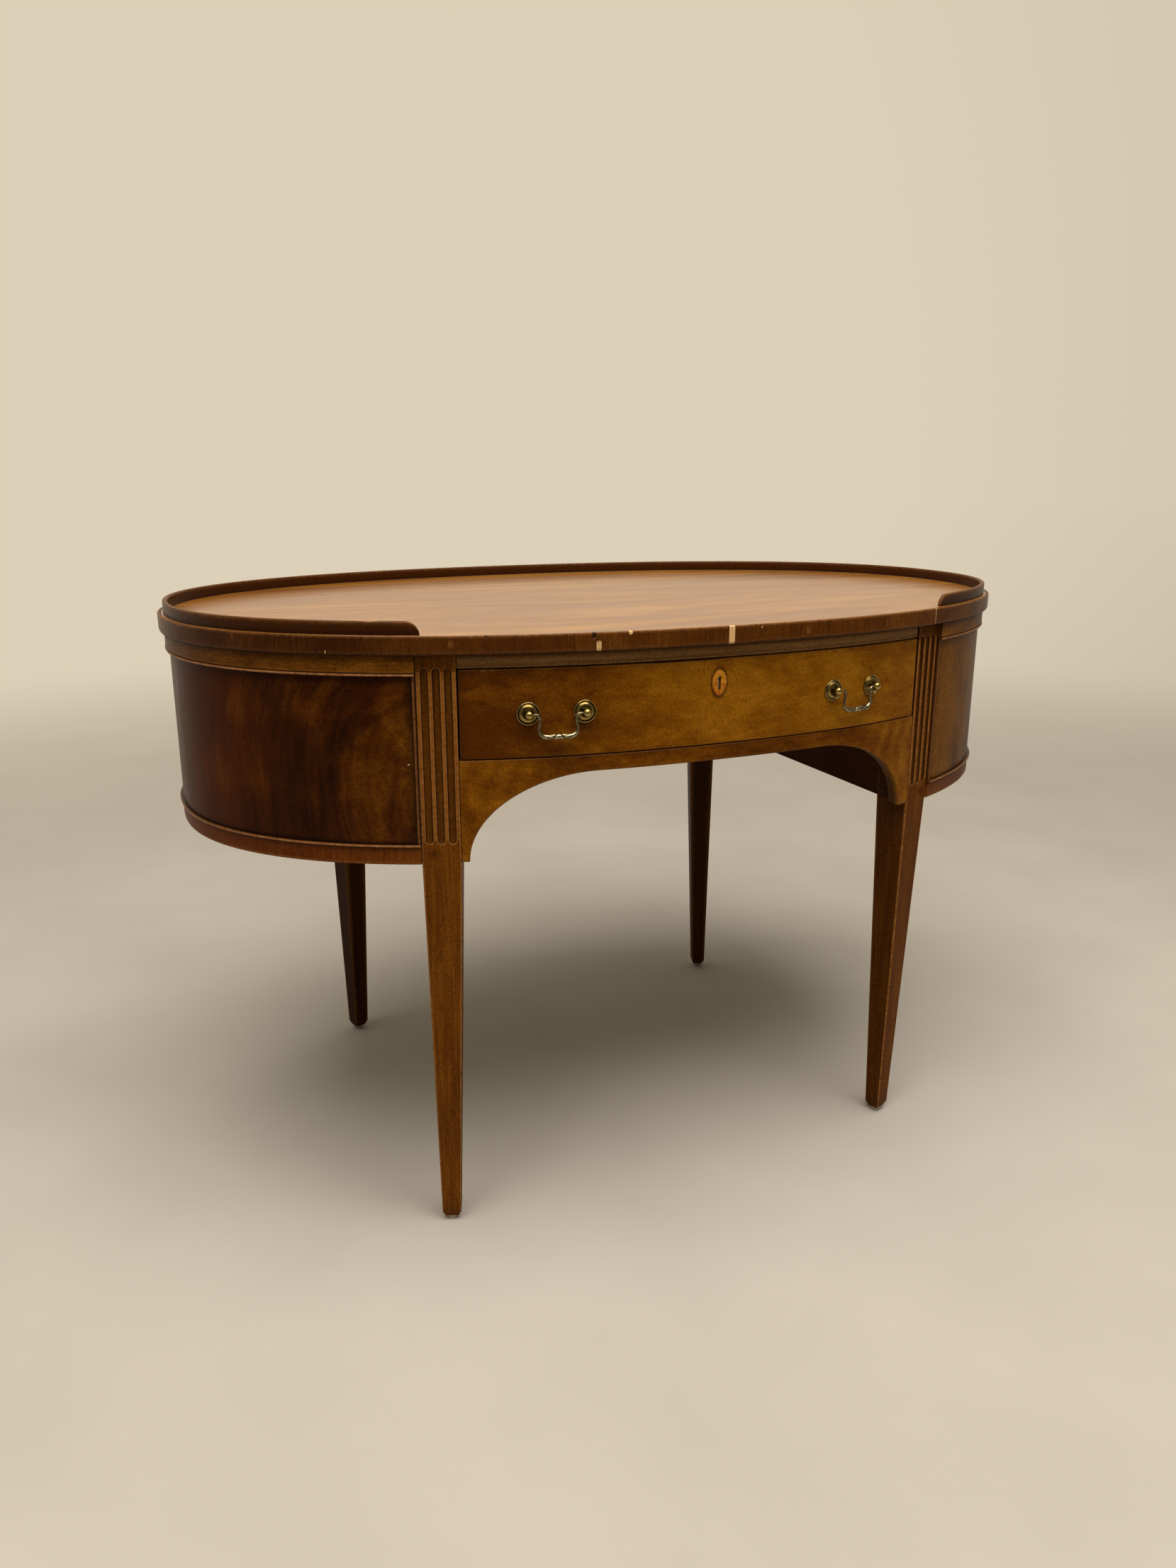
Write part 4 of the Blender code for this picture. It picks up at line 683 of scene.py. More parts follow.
# the bow ends, each worked once and turned half round for the left: u runs from the front post.
# Each cloud of the veneer is its u, z, width, height and amount.
bowEnd = {
    "friezeHeight": 0.0195, "friezeInset": 0.006, "friezeThickness": 0.016, "beadHeight": 0.0032,
    "beadDepth": 0.010, "friezeBeadInset": 0.0052, "baseBeadInset": 0.0065, "panelInset": 0.0105,
    "panelThickness": 0.008, "baseHeight": 0.0205, "baseInset": 0.0095, "baseThickness": 0.014,
    "sideBeadWidth": 0.004, "sideBeadInset": 0.009, "sideBeadNose": 0.0020, "stations": 150,
    "focus": (-0.002, 0.585), "focusStretch": (1.12, 2.0), "curlLength": 0.14, "cloudReach": (0.064, 0.100),
    "nick": (-0.3595, 0.593), "nickSize": 0.0024, "red": (0.13, 0.30),
    "leftLook": (0.21, 0.75, 0), "rightLook": (0.16, 0.4, 0.34),   # cloud tone, painted shade at the rim, painted light (glow) towards the posts
    "clouds": ((0.105, 0.655, 0.034, 0.020, 0.75), (0.115, 0.550, 0.022, 0.016, 0.5),
               (0.008, 0.525, 0.022, 0.022, -0.6), (0.215, 0.652, 0.034, 0.024, 0.85),
               (0.250, 0.565, 0.046, 0.036, 0.95), (0.185, 0.563, 0.022, 0.014, 0.4),
               (0.050, 0.682, 0.090, 0.012, 0.55)),
}
friezeLow = carcassTop - bowEnd["friezeHeight"]
friezeBeadLow = friezeLow - fit - bowEnd["beadHeight"]
baseTop = casingLow + bowEnd["baseHeight"]
panelLow, panelTop = baseTop + fit + bowEnd["beadHeight"] + fit, friezeBeadLow - fit
endShares = np.linspace(0, 1, bowEnd["stations"])


# a board's section as (inset, z) corners, from the lower edge of its face
def blockCorners(inset, thickness, low, high):
    return [(inset, low), (inset, high), (inset + thickness, high), (inset + thickness, low)]


# a strip with a half-round nose, and how far out on the nose each point is
def noseOutline(inset, depth, low, high):
    radius = (high - low) / 2
    turns = np.linspace(-math.pi / 2, math.pi / 2, 9)
    nose = np.stack([inset + radius * (1 - np.cos(turns)), low + radius + radius * np.sin(turns)], axis=-1)
    outline = np.concatenate([nose, [(inset + depth, high), (inset + depth, low)]])
    return outline, np.append(np.cos(turns), [0, 0])


# frieze and base strips: corners, arrises, wear, how much lighter by the front post, how red,
# and where painted shade lies, under the top and beside the beads: its amount and the heights it grows
# between
strips = (
    ("endFrieze", "end_frieze", friezeWood,
     blockCorners(bowEnd["friezeInset"], bowEnd["friezeThickness"], friezeLow, carcassTop),
     (0.0012, 0.0004, 0.0004, 0.0004), 0.5, 0.10, 0.0,
     ((0.6, 0.708, 0.7136), (0.8, friezeLow + 0.0014, friezeLow))),
    ("endBase", "end_base", crossWood,
     blockCorners(bowEnd["baseInset"], bowEnd["baseThickness"], casingLow, baseTop),
     (0.0022, 0.0007, 0.0004, 0.0006), 0.8, 0.16, 0.45, ((0.7, baseTop - 0.0022, baseTop),)))
for side, turned in (("right", False), ("left", True)):
    label = side.capitalize()
    seedShift = np.array([0.0 if turned else 2.3, 0, 0])   # other wood on the other end
    for name, node, wood, corners, radii, rub, toFront, red, dirt in strips:
        outline, near, corner = roundedOutline(corners, radii, step=0.005)
        grid, grain = carry(outline, endBow, endShares, turned, turned)
        setPiece(name + label, grid, {
            "grain": grain + seedShift, "wear": near * np.where(corner == 0, rub, 0.3),
            "grime": sum(amount * smoothStep(low, high, grid[..., 2]) for amount, low, high in dirt),
            "tone": toFront * hump(grain[..., 0], 0, 0.09) - 0.05, "blush": red},
            wood, "carcass", "solid_mahogany", f"{node}_{side}")
    # the beads over and under the panel, with painted shade along their flanks
    for name, node, inset, low, rub in (
            ("friezeBead", "frieze_bead", bowEnd["friezeBeadInset"], friezeBeadLow, 0.95),
            ("baseBead", "base_bead", bowEnd["baseBeadInset"], baseTop + fit, 0.7)):
        outline, nose = noseOutline(inset, bowEnd["beadDepth"], low, low + bowEnd["beadHeight"])
        grid, grain = carry(outline, endBow, endShares, turned, turned)
        setPiece(name + label, grid, {
            "grain": grain + seedShift, "wear": rub * nose ** 2, "grime": 0.95 * (1 - nose) ** 1.5},
            beadWood, "carcass", "worn_bead", f"{node}_{side}", crease=50)
    # the veneered panel: a light cloud by each post, feathered clouds further on, a red glow in the middle,
    # painted shade along its edges and, on the right end, painted light towards the posts
    beside = bowEnd["sideBeadWidth"] + 2 * fit
    outline, near, corner = roundedOutline(
        blockCorners(bowEnd["panelInset"], bowEnd["panelThickness"], panelLow, panelTop),
        [0.0005] * 4, step=0.003)
    grid, grain = carry(outline, lambda inset, shares: endBow(inset, shares, beside),
                        endShares, turned, turned)
    along, height = grain[..., 0], grain[..., 2]
    along = np.minimum(along, along.max() - along)   # two leaves, matched like pages
    # crotch grain curves round a focus: across it is the distance from there,
    # along it the angle times a length
    offAlong, offUp = along - bowEnd["focus"][0], height - bowEnd["focus"][1]
    offUp = offUp / np.where(offUp > 0, *bowEnd["focusStretch"])
    reach = np.hypot(offAlong, offUp)
    curl = np.stack([bowEnd["curlLength"] * np.arctan2(offUp, offAlong), grain[..., 1], reach], axis=-1)
    cloud = 1 - smoothStep(*bowEnd["cloudReach"], reach + 0.006 * np.sin(height * 60 + along * 25))
    for u, z, width, tall, amount in bowEnd["clouds"]:
        cloud = cloud + amount * hump(along, u, width) * hump(height, z, tall)
    cloudTone, rimShadeAmount, glow = bowEnd["leftLook" if turned else "rightLook"]
    # painted shade along the panel's edges: under the frieze bead, over the base bead and by the posts
    rimShade = hump(height, panelLow, 0.004) + 0.5 * hump(height, panelTop, 0.003) + hump(along, 0, 0.006)
    fromNick = np.hypot(grid[..., 0] - bowEnd["nick"][0], height - bowEnd["nick"][1])
    setPiece("endPanel" + label, grid, {
        "grain": grain + seedShift, "curl": curl + seedShift,
        "blush": 0.35 * smoothStep(*bowEnd["red"], along),
        "pale": 0.9 * hump(fromNick, 0, bowEnd["nickSize"]), "grime": np.clip(rimShadeAmount * rimShade, 0, 0.9),
        "tone": cloudTone * cloud - 0.085 + glow * (1 - smoothStep(0.04, 0.33, along))},
        endVeneer, "carcass", "figured_veneer", f"end_panel_{side}")
    # the upright beads beside the posts: (inset, distance from the post) in plan, carried up
    width, depthIn = bowEnd["sideBeadWidth"], bowEnd["panelInset"] + bowEnd["panelThickness"]
    bowLength = endBow(bowEnd["sideBeadInset"], [0, 1])[1]
    turns = np.linspace(0, math.pi, 11)
    beadIn = bowEnd["sideBeadInset"] + bowEnd["sideBeadNose"] * (1 - np.sin(turns))
    beadIn = np.concatenate([[depthIn], beadIn, [depthIn]])
    beadAt = np.concatenate([[0], width / 2 * (1 - np.cos(turns)), [width]])
    nose = np.concatenate([[0], np.sin(turns), [0]])
    beadPlan = np.stack([endBow(inset, [at / bowLength])[0][0] for inset, at in zip(beadIn, beadAt)])
    heights = np.linspace(panelLow, panelTop, 24)[:, None]
    # painted shade beside each side bead, in the corner by the post, deeper on the left end
    flip, cornerShade = (-1, 0.9) if turned else (1, 0.5)
    for suffix, mirror in (("a", 1), ("b", -1)):
        plan = np.broadcast_to(beadPlan * (flip, flip * mirror), (len(heights), *beadPlan.shape))
        grid = lifted(plan, heights)
        setPiece(f"sideBead{label}{suffix.upper()}", grid, {
            "grain": grid[..., ::-1], "wear": 0.4 * nose ** 4, "grime": cornerShade * (1 - nose) + 0.2},
            beadWood, "carcass", "worn_bead", f"side_bead_{suffix}_{side}", crease=50)
print("bow ends built")

# the rail over the drawer and the back panel
bowFront = {"railHeight": 0.016, "railInset": 0.015, "railWidth": 0.040, "drawerGap": 0.0012,
            "drawerInset": 0.013, "drawerHeight": 0.0995, "backPanel": 0.012, "stations": 120,
            "mortiseX": (-0.0155, 0.0025), "mortiseY": (-0.3299, -0.3229), "mortiseTop": 0.7045}
railLow = carcassTop - bowFront["railHeight"]
drawerTop = railLow - bowFront["drawerGap"]
drawerLow = drawerTop - bowFront["drawerHeight"]
apronTop = drawerLow - bowFront["drawerGap"]
frontShares = np.linspace(0, 1, bowFront["stations"])
outline, near, corner = roundedOutline(
    blockCorners(bowFront["railInset"], bowFront["railWidth"], railLow, carcassTop),
    (0.0011, 0.0004, 0.0004, 0.0006), step=0.003)
# the lock's bolt has a mortise in the underside: two grid lines close together at each of its sides,
# and all that lies between them raised
hair = np.array([0.0001, -0.0001])
mortiseX, mortiseIn = bowFront["mortiseX"], desk["depth"] / 2 + np.array(bowFront["mortiseY"])
sillIn = np.concatenate([[0.050], *(mortiseIn[::-1, None] + hair), [0.030, 0.022]])
flatSill = (outline[:, 1] < railLow + 1e-6) & (outline[:, 0] > 0.018) & (outline[:, 0] < 0.054)
outline = np.concatenate([outline[~flatSill], np.stack([sillIn, 0 * sillIn + railLow], axis=-1)])
near, corner = (np.append(values[~flatSill], 0 * sillIn + fill)
                for values, fill in ((near, 0), (corner, 3)))
railRun = frontBow(bowFront["railInset"], frontShares)[0]
mortiseShares = np.interp(np.add.outer(mortiseX, -hair).ravel(), railRun[:, 0], frontShares)
grid, grain = carry(outline, frontBow, np.sort(np.append(frontShares, mortiseShares)))
inMortise = (outline[:, 0] > mortiseIn[0]) & (outline[:, 0] < mortiseIn[1]) & (outline[:, 1] == railLow)
inMortise = inMortise & (grid[..., 0] > mortiseX[0]) & (grid[..., 0] < mortiseX[1])
grid[..., 2] = np.where(inMortise, bowFront["mortiseTop"], grid[..., 2])
railZ, railDepth = grid[..., 2], grain[..., 1]
# painted light and shade on the flat rail: a lighter band across its middle as if it were rounded, and
# painted shadow along its top under the top board and on its underside
setPiece("drawerRail", grid, {
    "grain": grain, "wear": near * np.where(corner == 0, 0.9, 0),
    "tone": 0.20 * hump(railZ, railLow + 0.0070, 0.0030) - 0.02,
    "grime": 0.85 * smoothStep(0.7085, 0.7130, railZ) * (railDepth < 0.018)
    + 0.7 * (railDepth > 0.0165) * (railZ < railLow + 0.001)},
    railWood, "carcass", "solid_mahogany", "front_rail")
outline, near, corner = roundedOutline(
    blockCorners(bowFront["drawerInset"], bowFront["backPanel"], apronTop + fit, carcassTop), [0.0008] * 4)
grid, grain = carry(outline, frontBow, frontShares, turned=True)
grain = grain + (4.1, 0, 0)   # another part of the veneer than the ends have
setPiece("backPanel", grid, {
    "grain": grain, "curl": grain, "wear": 0.4 * near,
    # painted shade: the panel darkens towards its top, under the top board
    "grime": 0.6 * smoothStep(0.700, 0.7136, grid[..., 2])},
    endVeneer, "carcass", "figured_veneer", "back_panel")

# the aprons: a bowed board under the drawer whose lower edge is a flat crown between two quarter ellipses,
# z = foot + (crown - foot) cos t at x = reach sin t, then a flat bracket foot against each post
apron = {"crown": 0.0185, "thickness": 0.020, "archReach": 0.146, "archShift": -0.0045,
         "bracketFoot": 0.013, "bracketLift": 0.0012, "edgeRound": 0.0014, "footSteps": 5,
         "bracketFrom": (0.17, 0.25), "bracketTone": 0.17, "streakTone": 0.05}
outer, inner = bowFront["drawerInset"], bowFront["drawerInset"] + apron["thickness"]
archCrown, bracketLow = apronTop - apron["crown"], casingLow + apron["bracketLift"]
spring = frontBow(outer, [0, 1])[0][1, 0] - apron["bracketFoot"]
crownHalf = spring - apron["archReach"]
turns = np.linspace(0, math.pi / 2, 34)[1:]
cornerX = crownHalf + apron["archReach"] * np.sin(turns)
cornerZ = bracketLow + (archCrown - bracketLow) * np.cos(turns)
crownX = np.linspace(-crownHalf, crownHalf, 40)
footSteps = np.arange(apron["footSteps"]) / apron["footSteps"]
footZ = np.full(apron["footSteps"], bracketLow)
archX = np.concatenate([-cornerX[::-1], crownX, cornerX]) + apron["archShift"]
lowZ = np.concatenate([footZ, cornerZ[::-1], np.full(len(crownX), archCrown), cornerZ, footZ])[:, None]
faceLine, faceNormal = ovalAt(frontHalf, outer)
rails = []
for line, inset in ((faceLine, outer), (ovalAt(frontHalf, inner)[0], inner)):
    postX = frontBow(inset, [0, 1])[0][1, 0]
    lineX = np.concatenate([-postX + footSteps * (archX[0] + postX), archX,
                            postX - footSteps[::-1] * (postX - archX[-1])])
    rails.append(np.stack([lineX, np.interp(lineX, line[:, 0], line[:, 1])], axis=-1)[:, None])
# round the section: the way through from face to back, the share from lower edge to top, a step round
# the arris, and how rubbed it is
arc = np.linspace(0, math.pi / 2, 5)
bySin, byCos = apron["edgeRound"] * (1 - np.sin(arc)), apron["edgeRound"] * (1 - np.cos(arc))
thick, halfway = apron["thickness"], [apron["thickness"] / 2]
upFace, downBack = np.linspace(0, 1, 18)[1:-1], np.linspace(1, 0, 7)[1:-1]
through, lift, step, onEdge = joined((
    (bySin, 0.0, byCos, 1.0), (0.0, upFace, 0.0, 0.0), (byCos, 1.0, -bySin, 1.0), (halfway, 1.0, 0.0, 0.0),
    (thick - bySin, 1.0, -byCos, 0.0), (thick, downBack, 0.0, 0.0), (thick - byCos, 0.0, bySin, 0.5),
    (halfway, 0.0, 0.0, 0.2)))
through = through / thick
plan = rails[0] * (1 - through)[:, None] + rails[1] * through[:, None]
apronX, apronZ = plan[..., 0], lowZ + lift * (apronTop - lowZ) + step
lowEdge = hump(apronZ, lowZ, 0.0022) * (through < 0.4)
# painted shade along the top of the face, under the drawer's gap
upperShade = 0.5 * hump(apronZ, apronTop, 0.002) * (through < 0.3)
soffit = 0.85 * smoothStep(0.07, 0.16, through) * (lift < 0.02)   # painted shade: behind the face the soffit is kept dark
# brackets lighter than the crown, with a few upright streaks
streaks = apron["streakTone"] * np.sin(apronX * 260 + 2 * np.sin(apronZ * 60))
bracket = smoothStep(*apron["bracketFrom"], np.abs(apronX)) * (apron["bracketTone"] + streaks)
for name, node, flip, grainShift in (("frontApron", "front_apron", 1, 0.0),
                                     ("backApron", "back_apron", -1, 1.3)):
    setPiece(name, lifted(flip * plan, apronZ), {
        "grain": lifted(plan, apronZ + grainShift), "wear": np.maximum(0.5 * onEdge, 0.6 * lowEdge),
        "tone": bracket - 0.17 + 0.1 * apronX, "grime": np.maximum(soffit, upperShade)},
        drawerVeneer, "carcass", "drawer_mahogany", node)
print("rail, back and aprons built")

# the drawer front: the bowed board with a sunk seat for the escutcheon and the keyhole through it
drawer = {
    "leftGap": 0.0015, "rightGap": 0.0035, "thickness": 0.020, "edgeRound": 0.0013, "backRound": 0.0006,
    "lockX": -0.0065, "escutcheonWidth": 0.0195, "escutcheonHeight": 0.0310, "escutcheonDrop": 0.028,
    "escutcheonThickness": 0.0022, "escutcheonProud": 0.0006, "seatDepth": 0.0019,
    "keyRadius": 0.0025, "keySlot": 0.0034, "keyLength": 0.0128, "keyDepth": 0.0085,
    "rubbedDip": 0.0009, "dipFrom": (-0.115, -0.08), "dipTo": (-0.02, 0.012),   # left of the lock
    "rubbedLeft": -0.2735, "rubbedRun": 0.011, "closeWidth": 0.0135, "closeHeight": 0.0185,
    "toneAt": (-0.26, -0.14, -0.03, 0.12, 0.28), "tones": (-0.24, -0.05, 0.11, 0.15, 0.12),
}
drawerGaps = (drawer["leftGap"], drawer["rightGap"])
lockX, lockZ = drawer["lockX"], drawerTop - drawer["escutcheonDrop"]
shieldX, shieldZ = drawer["escutcheonWidth"] / 2, drawer["escutcheonHeight"] / 2
keyRadius, keyLength, slotHalf = drawer["keyRadius"], drawer["keyLength"], drawer["keySlot"] / 2
keyMiddle = (keyLength - keyRadius) / 2   # the round part's height over the escutcheon's middle
faceShares = np.linspace(0, 1, fine)
faceRun, faceSize = frontBow(outer, faceShares, drawerGaps)
lockShare = np.interp(lockX, faceRun[:, 0], faceShares)
# stations and rows are close together round the lock
lockSteps = np.linspace(-drawer["closeWidth"], drawer["closeWidth"], 73) / faceSize
shares = np.unique(np.round(np.concatenate([np.linspace(0, 1, 110), lockShare + lockSteps]), 7))
r, thick, small = drawer["edgeRound"], drawer["thickness"], drawer["backRound"]
lockRows = lockZ + np.linspace(-drawer["closeHeight"], drawer["closeHeight"], 75)
faceZ = np.concatenate([np.linspace(drawerLow + r, drawerTop - r, 26), lockRows])
faceZ = np.unique(np.round(faceZ, 7))
# round the section: depth, height, whether it is the face, and how rubbed it is
sectionIn, sectionUp, onFace, edgeWear = joined((
    (r * (1 - np.sin(arc[:-1])), drawerLow + r * (1 - np.cos(arc[:-1])), 0.0, 0.35), (0.0, faceZ, 1.0, 0.0),
    (r * (1 - np.cos(arc[1:])), drawerTop - r * (1 - np.sin(arc[1:])), 0.0, 0.75),
    ([thick / 2, thick - small, thick, thick, thick - small, thick / 2],
     [drawerTop, drawerTop, drawerTop - small, drawerLow + small, drawerLow, drawerLow], 0.0, 0.0)))
outline = np.stack([outer + sectionIn, sectionUp], axis=-1)
grid, grain = carry(outline, lambda inset, at: frontBow(inset, at, drawerGaps), shares)
drawerX = grid[..., 0]
offX, offZ = drawerX - lockX, grid[..., 2] - lockZ
seat = onFace * ((offX / (shieldX + fit)) ** 2 + (offZ / (shieldZ + fit)) ** 2 < 1)
keyRound = np.hypot(offX, offZ - keyMiddle) < keyRadius
keySlot = (np.abs(offX) < slotHalf) & (offZ < keyMiddle) & (offZ > keyMiddle - keyLength)
grid[..., 1] += np.maximum(seat * drawer["seatDepth"], onFace * (keyRound | keySlot) * drawer["keyDepth"])
dip = drawer["rubbedDip"] * smoothStep(*drawer["dipFrom"], drawerX)
dip = dip * (1 - smoothStep(*drawer["dipTo"], drawerX))
topEdge = smoothStep(drawerTop - 0.0028, drawerTop, sectionUp) * (sectionIn < 0.004)
grid[..., 2] -= dip * topEdge
offShield = np.maximum(0, np.hypot(offX, offZ * shieldX / shieldZ) - shieldX)
rubbedEnd = topEdge * hump(drawerX, drawer["rubbedLeft"], drawer["rubbedRun"], 4)
leftEdge = 0.45 * hump(grain[..., 0], 0.002, 0.003)
setPiece("drawerFront", grid, {
    "grain": grain, "wear": edgeWear + 0.5 * topEdge * (dip > 0.0002) + rubbedEnd,
    "tone": np.interp(drawerX, drawer["toneAt"], drawer["tones"])   # darker to the left
    + 0.03 * np.sin(drawerX * 31 + grid[..., 2] * 24),
    "grime": np.maximum(0.7 * hump(offShield, 0, 0.0022) * onFace, leftEdge)},
    drawerVeneer, "drawer", "drawer_mahogany", "drawer_front")

# the escutcheon: rings that pass from the keyhole's outline to the oval's, domed a little between,
# turned over both edges and closed behind; two sunk pin holes beside the keyhole
shield = {"rings": 26, "spokes": 144, "fall": 0.0048, "edgeFall": 0.00035,
          "pinRadius": 0.00085, "pinDepth": 0.0004, "pins": ((0.0056, -0.0024), (-0.0056, -0.0015))}
ringTurn = np.linspace(0, 2 * math.pi, shield["spokes"], endpoint=False)
wayX, wayZ = np.cos(ringTurn), np.sin(ringTurn)
# distance from the keyhole's middle to its outline in each direction:
# the further of the round part and the slot
across = keyMiddle * wayZ
inRound = across ** 2 - (keyMiddle ** 2 - keyRadius ** 2)
roundReach = np.where(inRound > 0, across + np.sqrt(np.maximum(inRound, 0)), 0)
slotEnd = np.where(wayZ < 0, keyLength - keyMiddle, keyMiddle) / np.maximum(np.abs(wayZ), 1e-6)
slotReach = np.minimum(slotHalf / np.maximum(np.abs(wayX), 1e-6), slotEnd)
keyOutline = np.maximum(roundReach, slotReach)[:, None] * np.stack([wayX, wayZ], axis=-1)
oval = np.stack([shieldX * wayX, shieldZ * wayZ], axis=-1)
part = np.concatenate([[0.0, 0.0], np.linspace(0.01, 0.99, shield["rings"]), [1.0, 1.0]])[:, None]
flat = keyOutline * (1 - part)[..., None] + oval * part[..., None]
faceY = np.interp(lockX, faceLine[:, 0], faceLine[:, 1])
dome = shield["fall"] * np.clip(part - 0.75, 0, 1) ** 2 - drawer["escutcheonProud"]
dome[[0, -1]] = drawer["escutcheonThickness"] - drawer["escutcheonProud"]
dome[[1, -2]] += shield["edgeFall"]
fromPin = np.min([np.hypot(flat[..., 0] - x, flat[..., 1] - z) for x, z in shield["pins"]], axis=0)
pins = hump(fromPin, 0, shield["pinRadius"], 4)
shieldY = faceY + dome + shield["pinDepth"] * pins
grid = np.stack([lockX + flat[..., 0], shieldY, lockZ + flat[..., 1]], axis=-1)
# painted light and shade: the rim is shaded towards the lower left and given a painted highlight towards
# the upper right, and the keyhole's edge is shaded
litSide = 0.5 + 0.5 * np.cos(ringTurn - 0.6)
shieldRim = hump(part, 1, 0.05 + 0.12 * (1 - litSide)) + 0.9 * hump(part, 0, 0.05)
setPiece("keyEscutcheon", grid, {
    "grain": grid, "grime": np.clip(0.85 * shieldRim + 0.95 * pins, 0, 1), "tone": 0.05 + 9 * flat[..., 1],
    "wear": np.maximum(0.9 * litSide * hump(part, 0.90, 0.06), 0.2 * hump(part, 0.5, 0.2))},
    boxWood, "drawer", "boxwood", "escutcheon", closed=(True, True), crease=45)

# the lock's plate seen down the keyhole: a small dished plate with the key pin's boss
keyPlate = {"halfWidth": 0.0042, "halfHeight": 0.0094, "behindFace": 0.0024, "spokes": 40,
            "rings": (0, 0.2, 0.35, 0.6, 1.0, 1.0, 0),
            "depths": (-0.0007, -0.0006, -0.0001, 0, 0, 0.0008, 0.0008)}
plateTurn = np.linspace(0, 2 * math.pi, keyPlate["spokes"], endpoint=False)
plateTurn, plateRing = np.meshgrid(plateTurn, keyPlate["rings"])
plateY = faceY + keyPlate["behindFace"] + np.array(keyPlate["depths"])[:, None] + 0 * plateRing
grid = np.stack([lockX + keyPlate["halfWidth"] * plateRing * np.cos(plateTurn), plateY,
                 lockZ + keyPlate["halfHeight"] * plateRing * np.sin(plateTurn)], axis=-1)
setPiece("keyPlate", grid, {"grime": 0.35 * plateRing, "wear": 1 - 0.2 * plateRing}, lockSteel,
         "drawer", "dull_steel", caps=False, merge=True)
print("drawer front and escutcheon built")

# handles: turned rosettes and ball-headed posts stand square to the bowed front, a bail hangs between
handle = {
    "spacing": 0.389, "centres": 0.064, "rosetteRadius": 0.013, "rosetteHeight": 0.0042,
    "rosetteHole": 0.0026, "rosetteSpokes": 56, "ballRadius": 0.0050, "ballReach": 0.0099,
    "pivotReach": 0.0105, "neckRadius": 0.0030, "shankRadius": 0.0022, "tail": 0.0265, "postSpokes": 40,
    "pinRadius": 0.0014, "bailRadius": 0.0018, "gripRadius": 0.0027, "drop": 0.0250, "shoulder": 0.0121,
    "leafMiddle": 0.0050, "leafSlant": 0.0028, "grooveWidth": 0.00070,
    "bailStations": 260, "bailSpokes": 32,
}
handleZ = drawerLow + bowFront["drawerHeight"] / 2


# spin (reach, radius) points about the way out from the front
def spun(profile, seat, out, steps):
    turns = np.linspace(0, 2 * math.pi, steps, endpoint=False)[:, None]
    side = np.array([-out[1], out[0], 0])
    reach, radius = np.asarray(profile, float).T
    way = np.cos(turns)[..., None] * side + np.sin(turns)[..., None] * np.array([0, 0, 1.0])
    return np.array([*seat, handleZ]) + reach[:, None] * np.array([*out, 0]) + radius[:, None] * way


# the rosette: a flat back, a beaded rim, a dark groove, a dome and a collar round the post.
# Each stretch gives reach and radius as shares of its height and radius, then grime and wear.
hole, rise = handle["rosetteHole"] / handle["rosetteRadius"], handle["rosetteHeight"]
beadUp, beadOut = (way(np.linspace(0, math.pi, 9)) for way in (np.sin, np.cos))
domePart = np.linspace(0, 1, 12)
domeUp, domeMiddle = np.sin(domePart * math.pi / 2), np.sin(domePart * math.pi) ** 2
reach, radius, rosetteGrime, rosetteWear = joined((
    ([0.0, 0.0, 0.2], [hole, 1.0, 1.0], 0.3, 0.0),
    (0.26 + 0.20 * beadUp, 0.945 + 0.055 * beadOut, 0.25 * (1 - beadUp), 0.85 * beadUp),
    ([0.20, 0.18], [0.880, 0.855], 0.95, 0.0),
    (0.26 + 0.60 * domeUp, 0.83 - 0.36 * domePart ** 1.15, 0.75 * (1 - domePart) ** 3, 0.4 * domeMiddle),
    ([0.80, 0.78, 0.90, 0.99, 1.0, 0.97, 0.95, 0.9], [0.45, 0.43, 0.41, 0.37, 0.33, 0.29, 0.205, hole],
     [0.8, 0.95, 0.95, 0.85, 0.85, 0.9, 0.95, 0.95], 0.0)))
rosetteProfile = np.stack([fit + rise * reach, handle["rosetteRadius"] * radius], axis=-1)
# the post: a shank through the front, a short neck and a ball; reach and radius in metres, grime and wear
neck, shank, ball = handle["neckRadius"], handle["shankRadius"], handle["ballRadius"]
ballTurn = np.linspace(math.pi - math.asin(neck / ball), 0, 22)
neckFoot = rise + 2 * fit
reach, radius, postGrime, postWear = joined((
    ([-handle["tail"], -handle["tail"], neckFoot, neckFoot, neckFoot + 0.0006],
     [0, shank, shank, neck * 1.12, neck * 1.02], [0.3, 0.3, 0.6, 0.9, 0.8], 0.0),
    (handle["ballReach"] + ball * np.cos(ballTurn), ball * np.sin(ballTurn),
     0.7 * smoothStep(1.9, 2.4, ballTurn), 0.6 * smoothStep(2.2, 0.4, ballTurn))))
postProfile = np.stack([reach, radius], axis=-1)


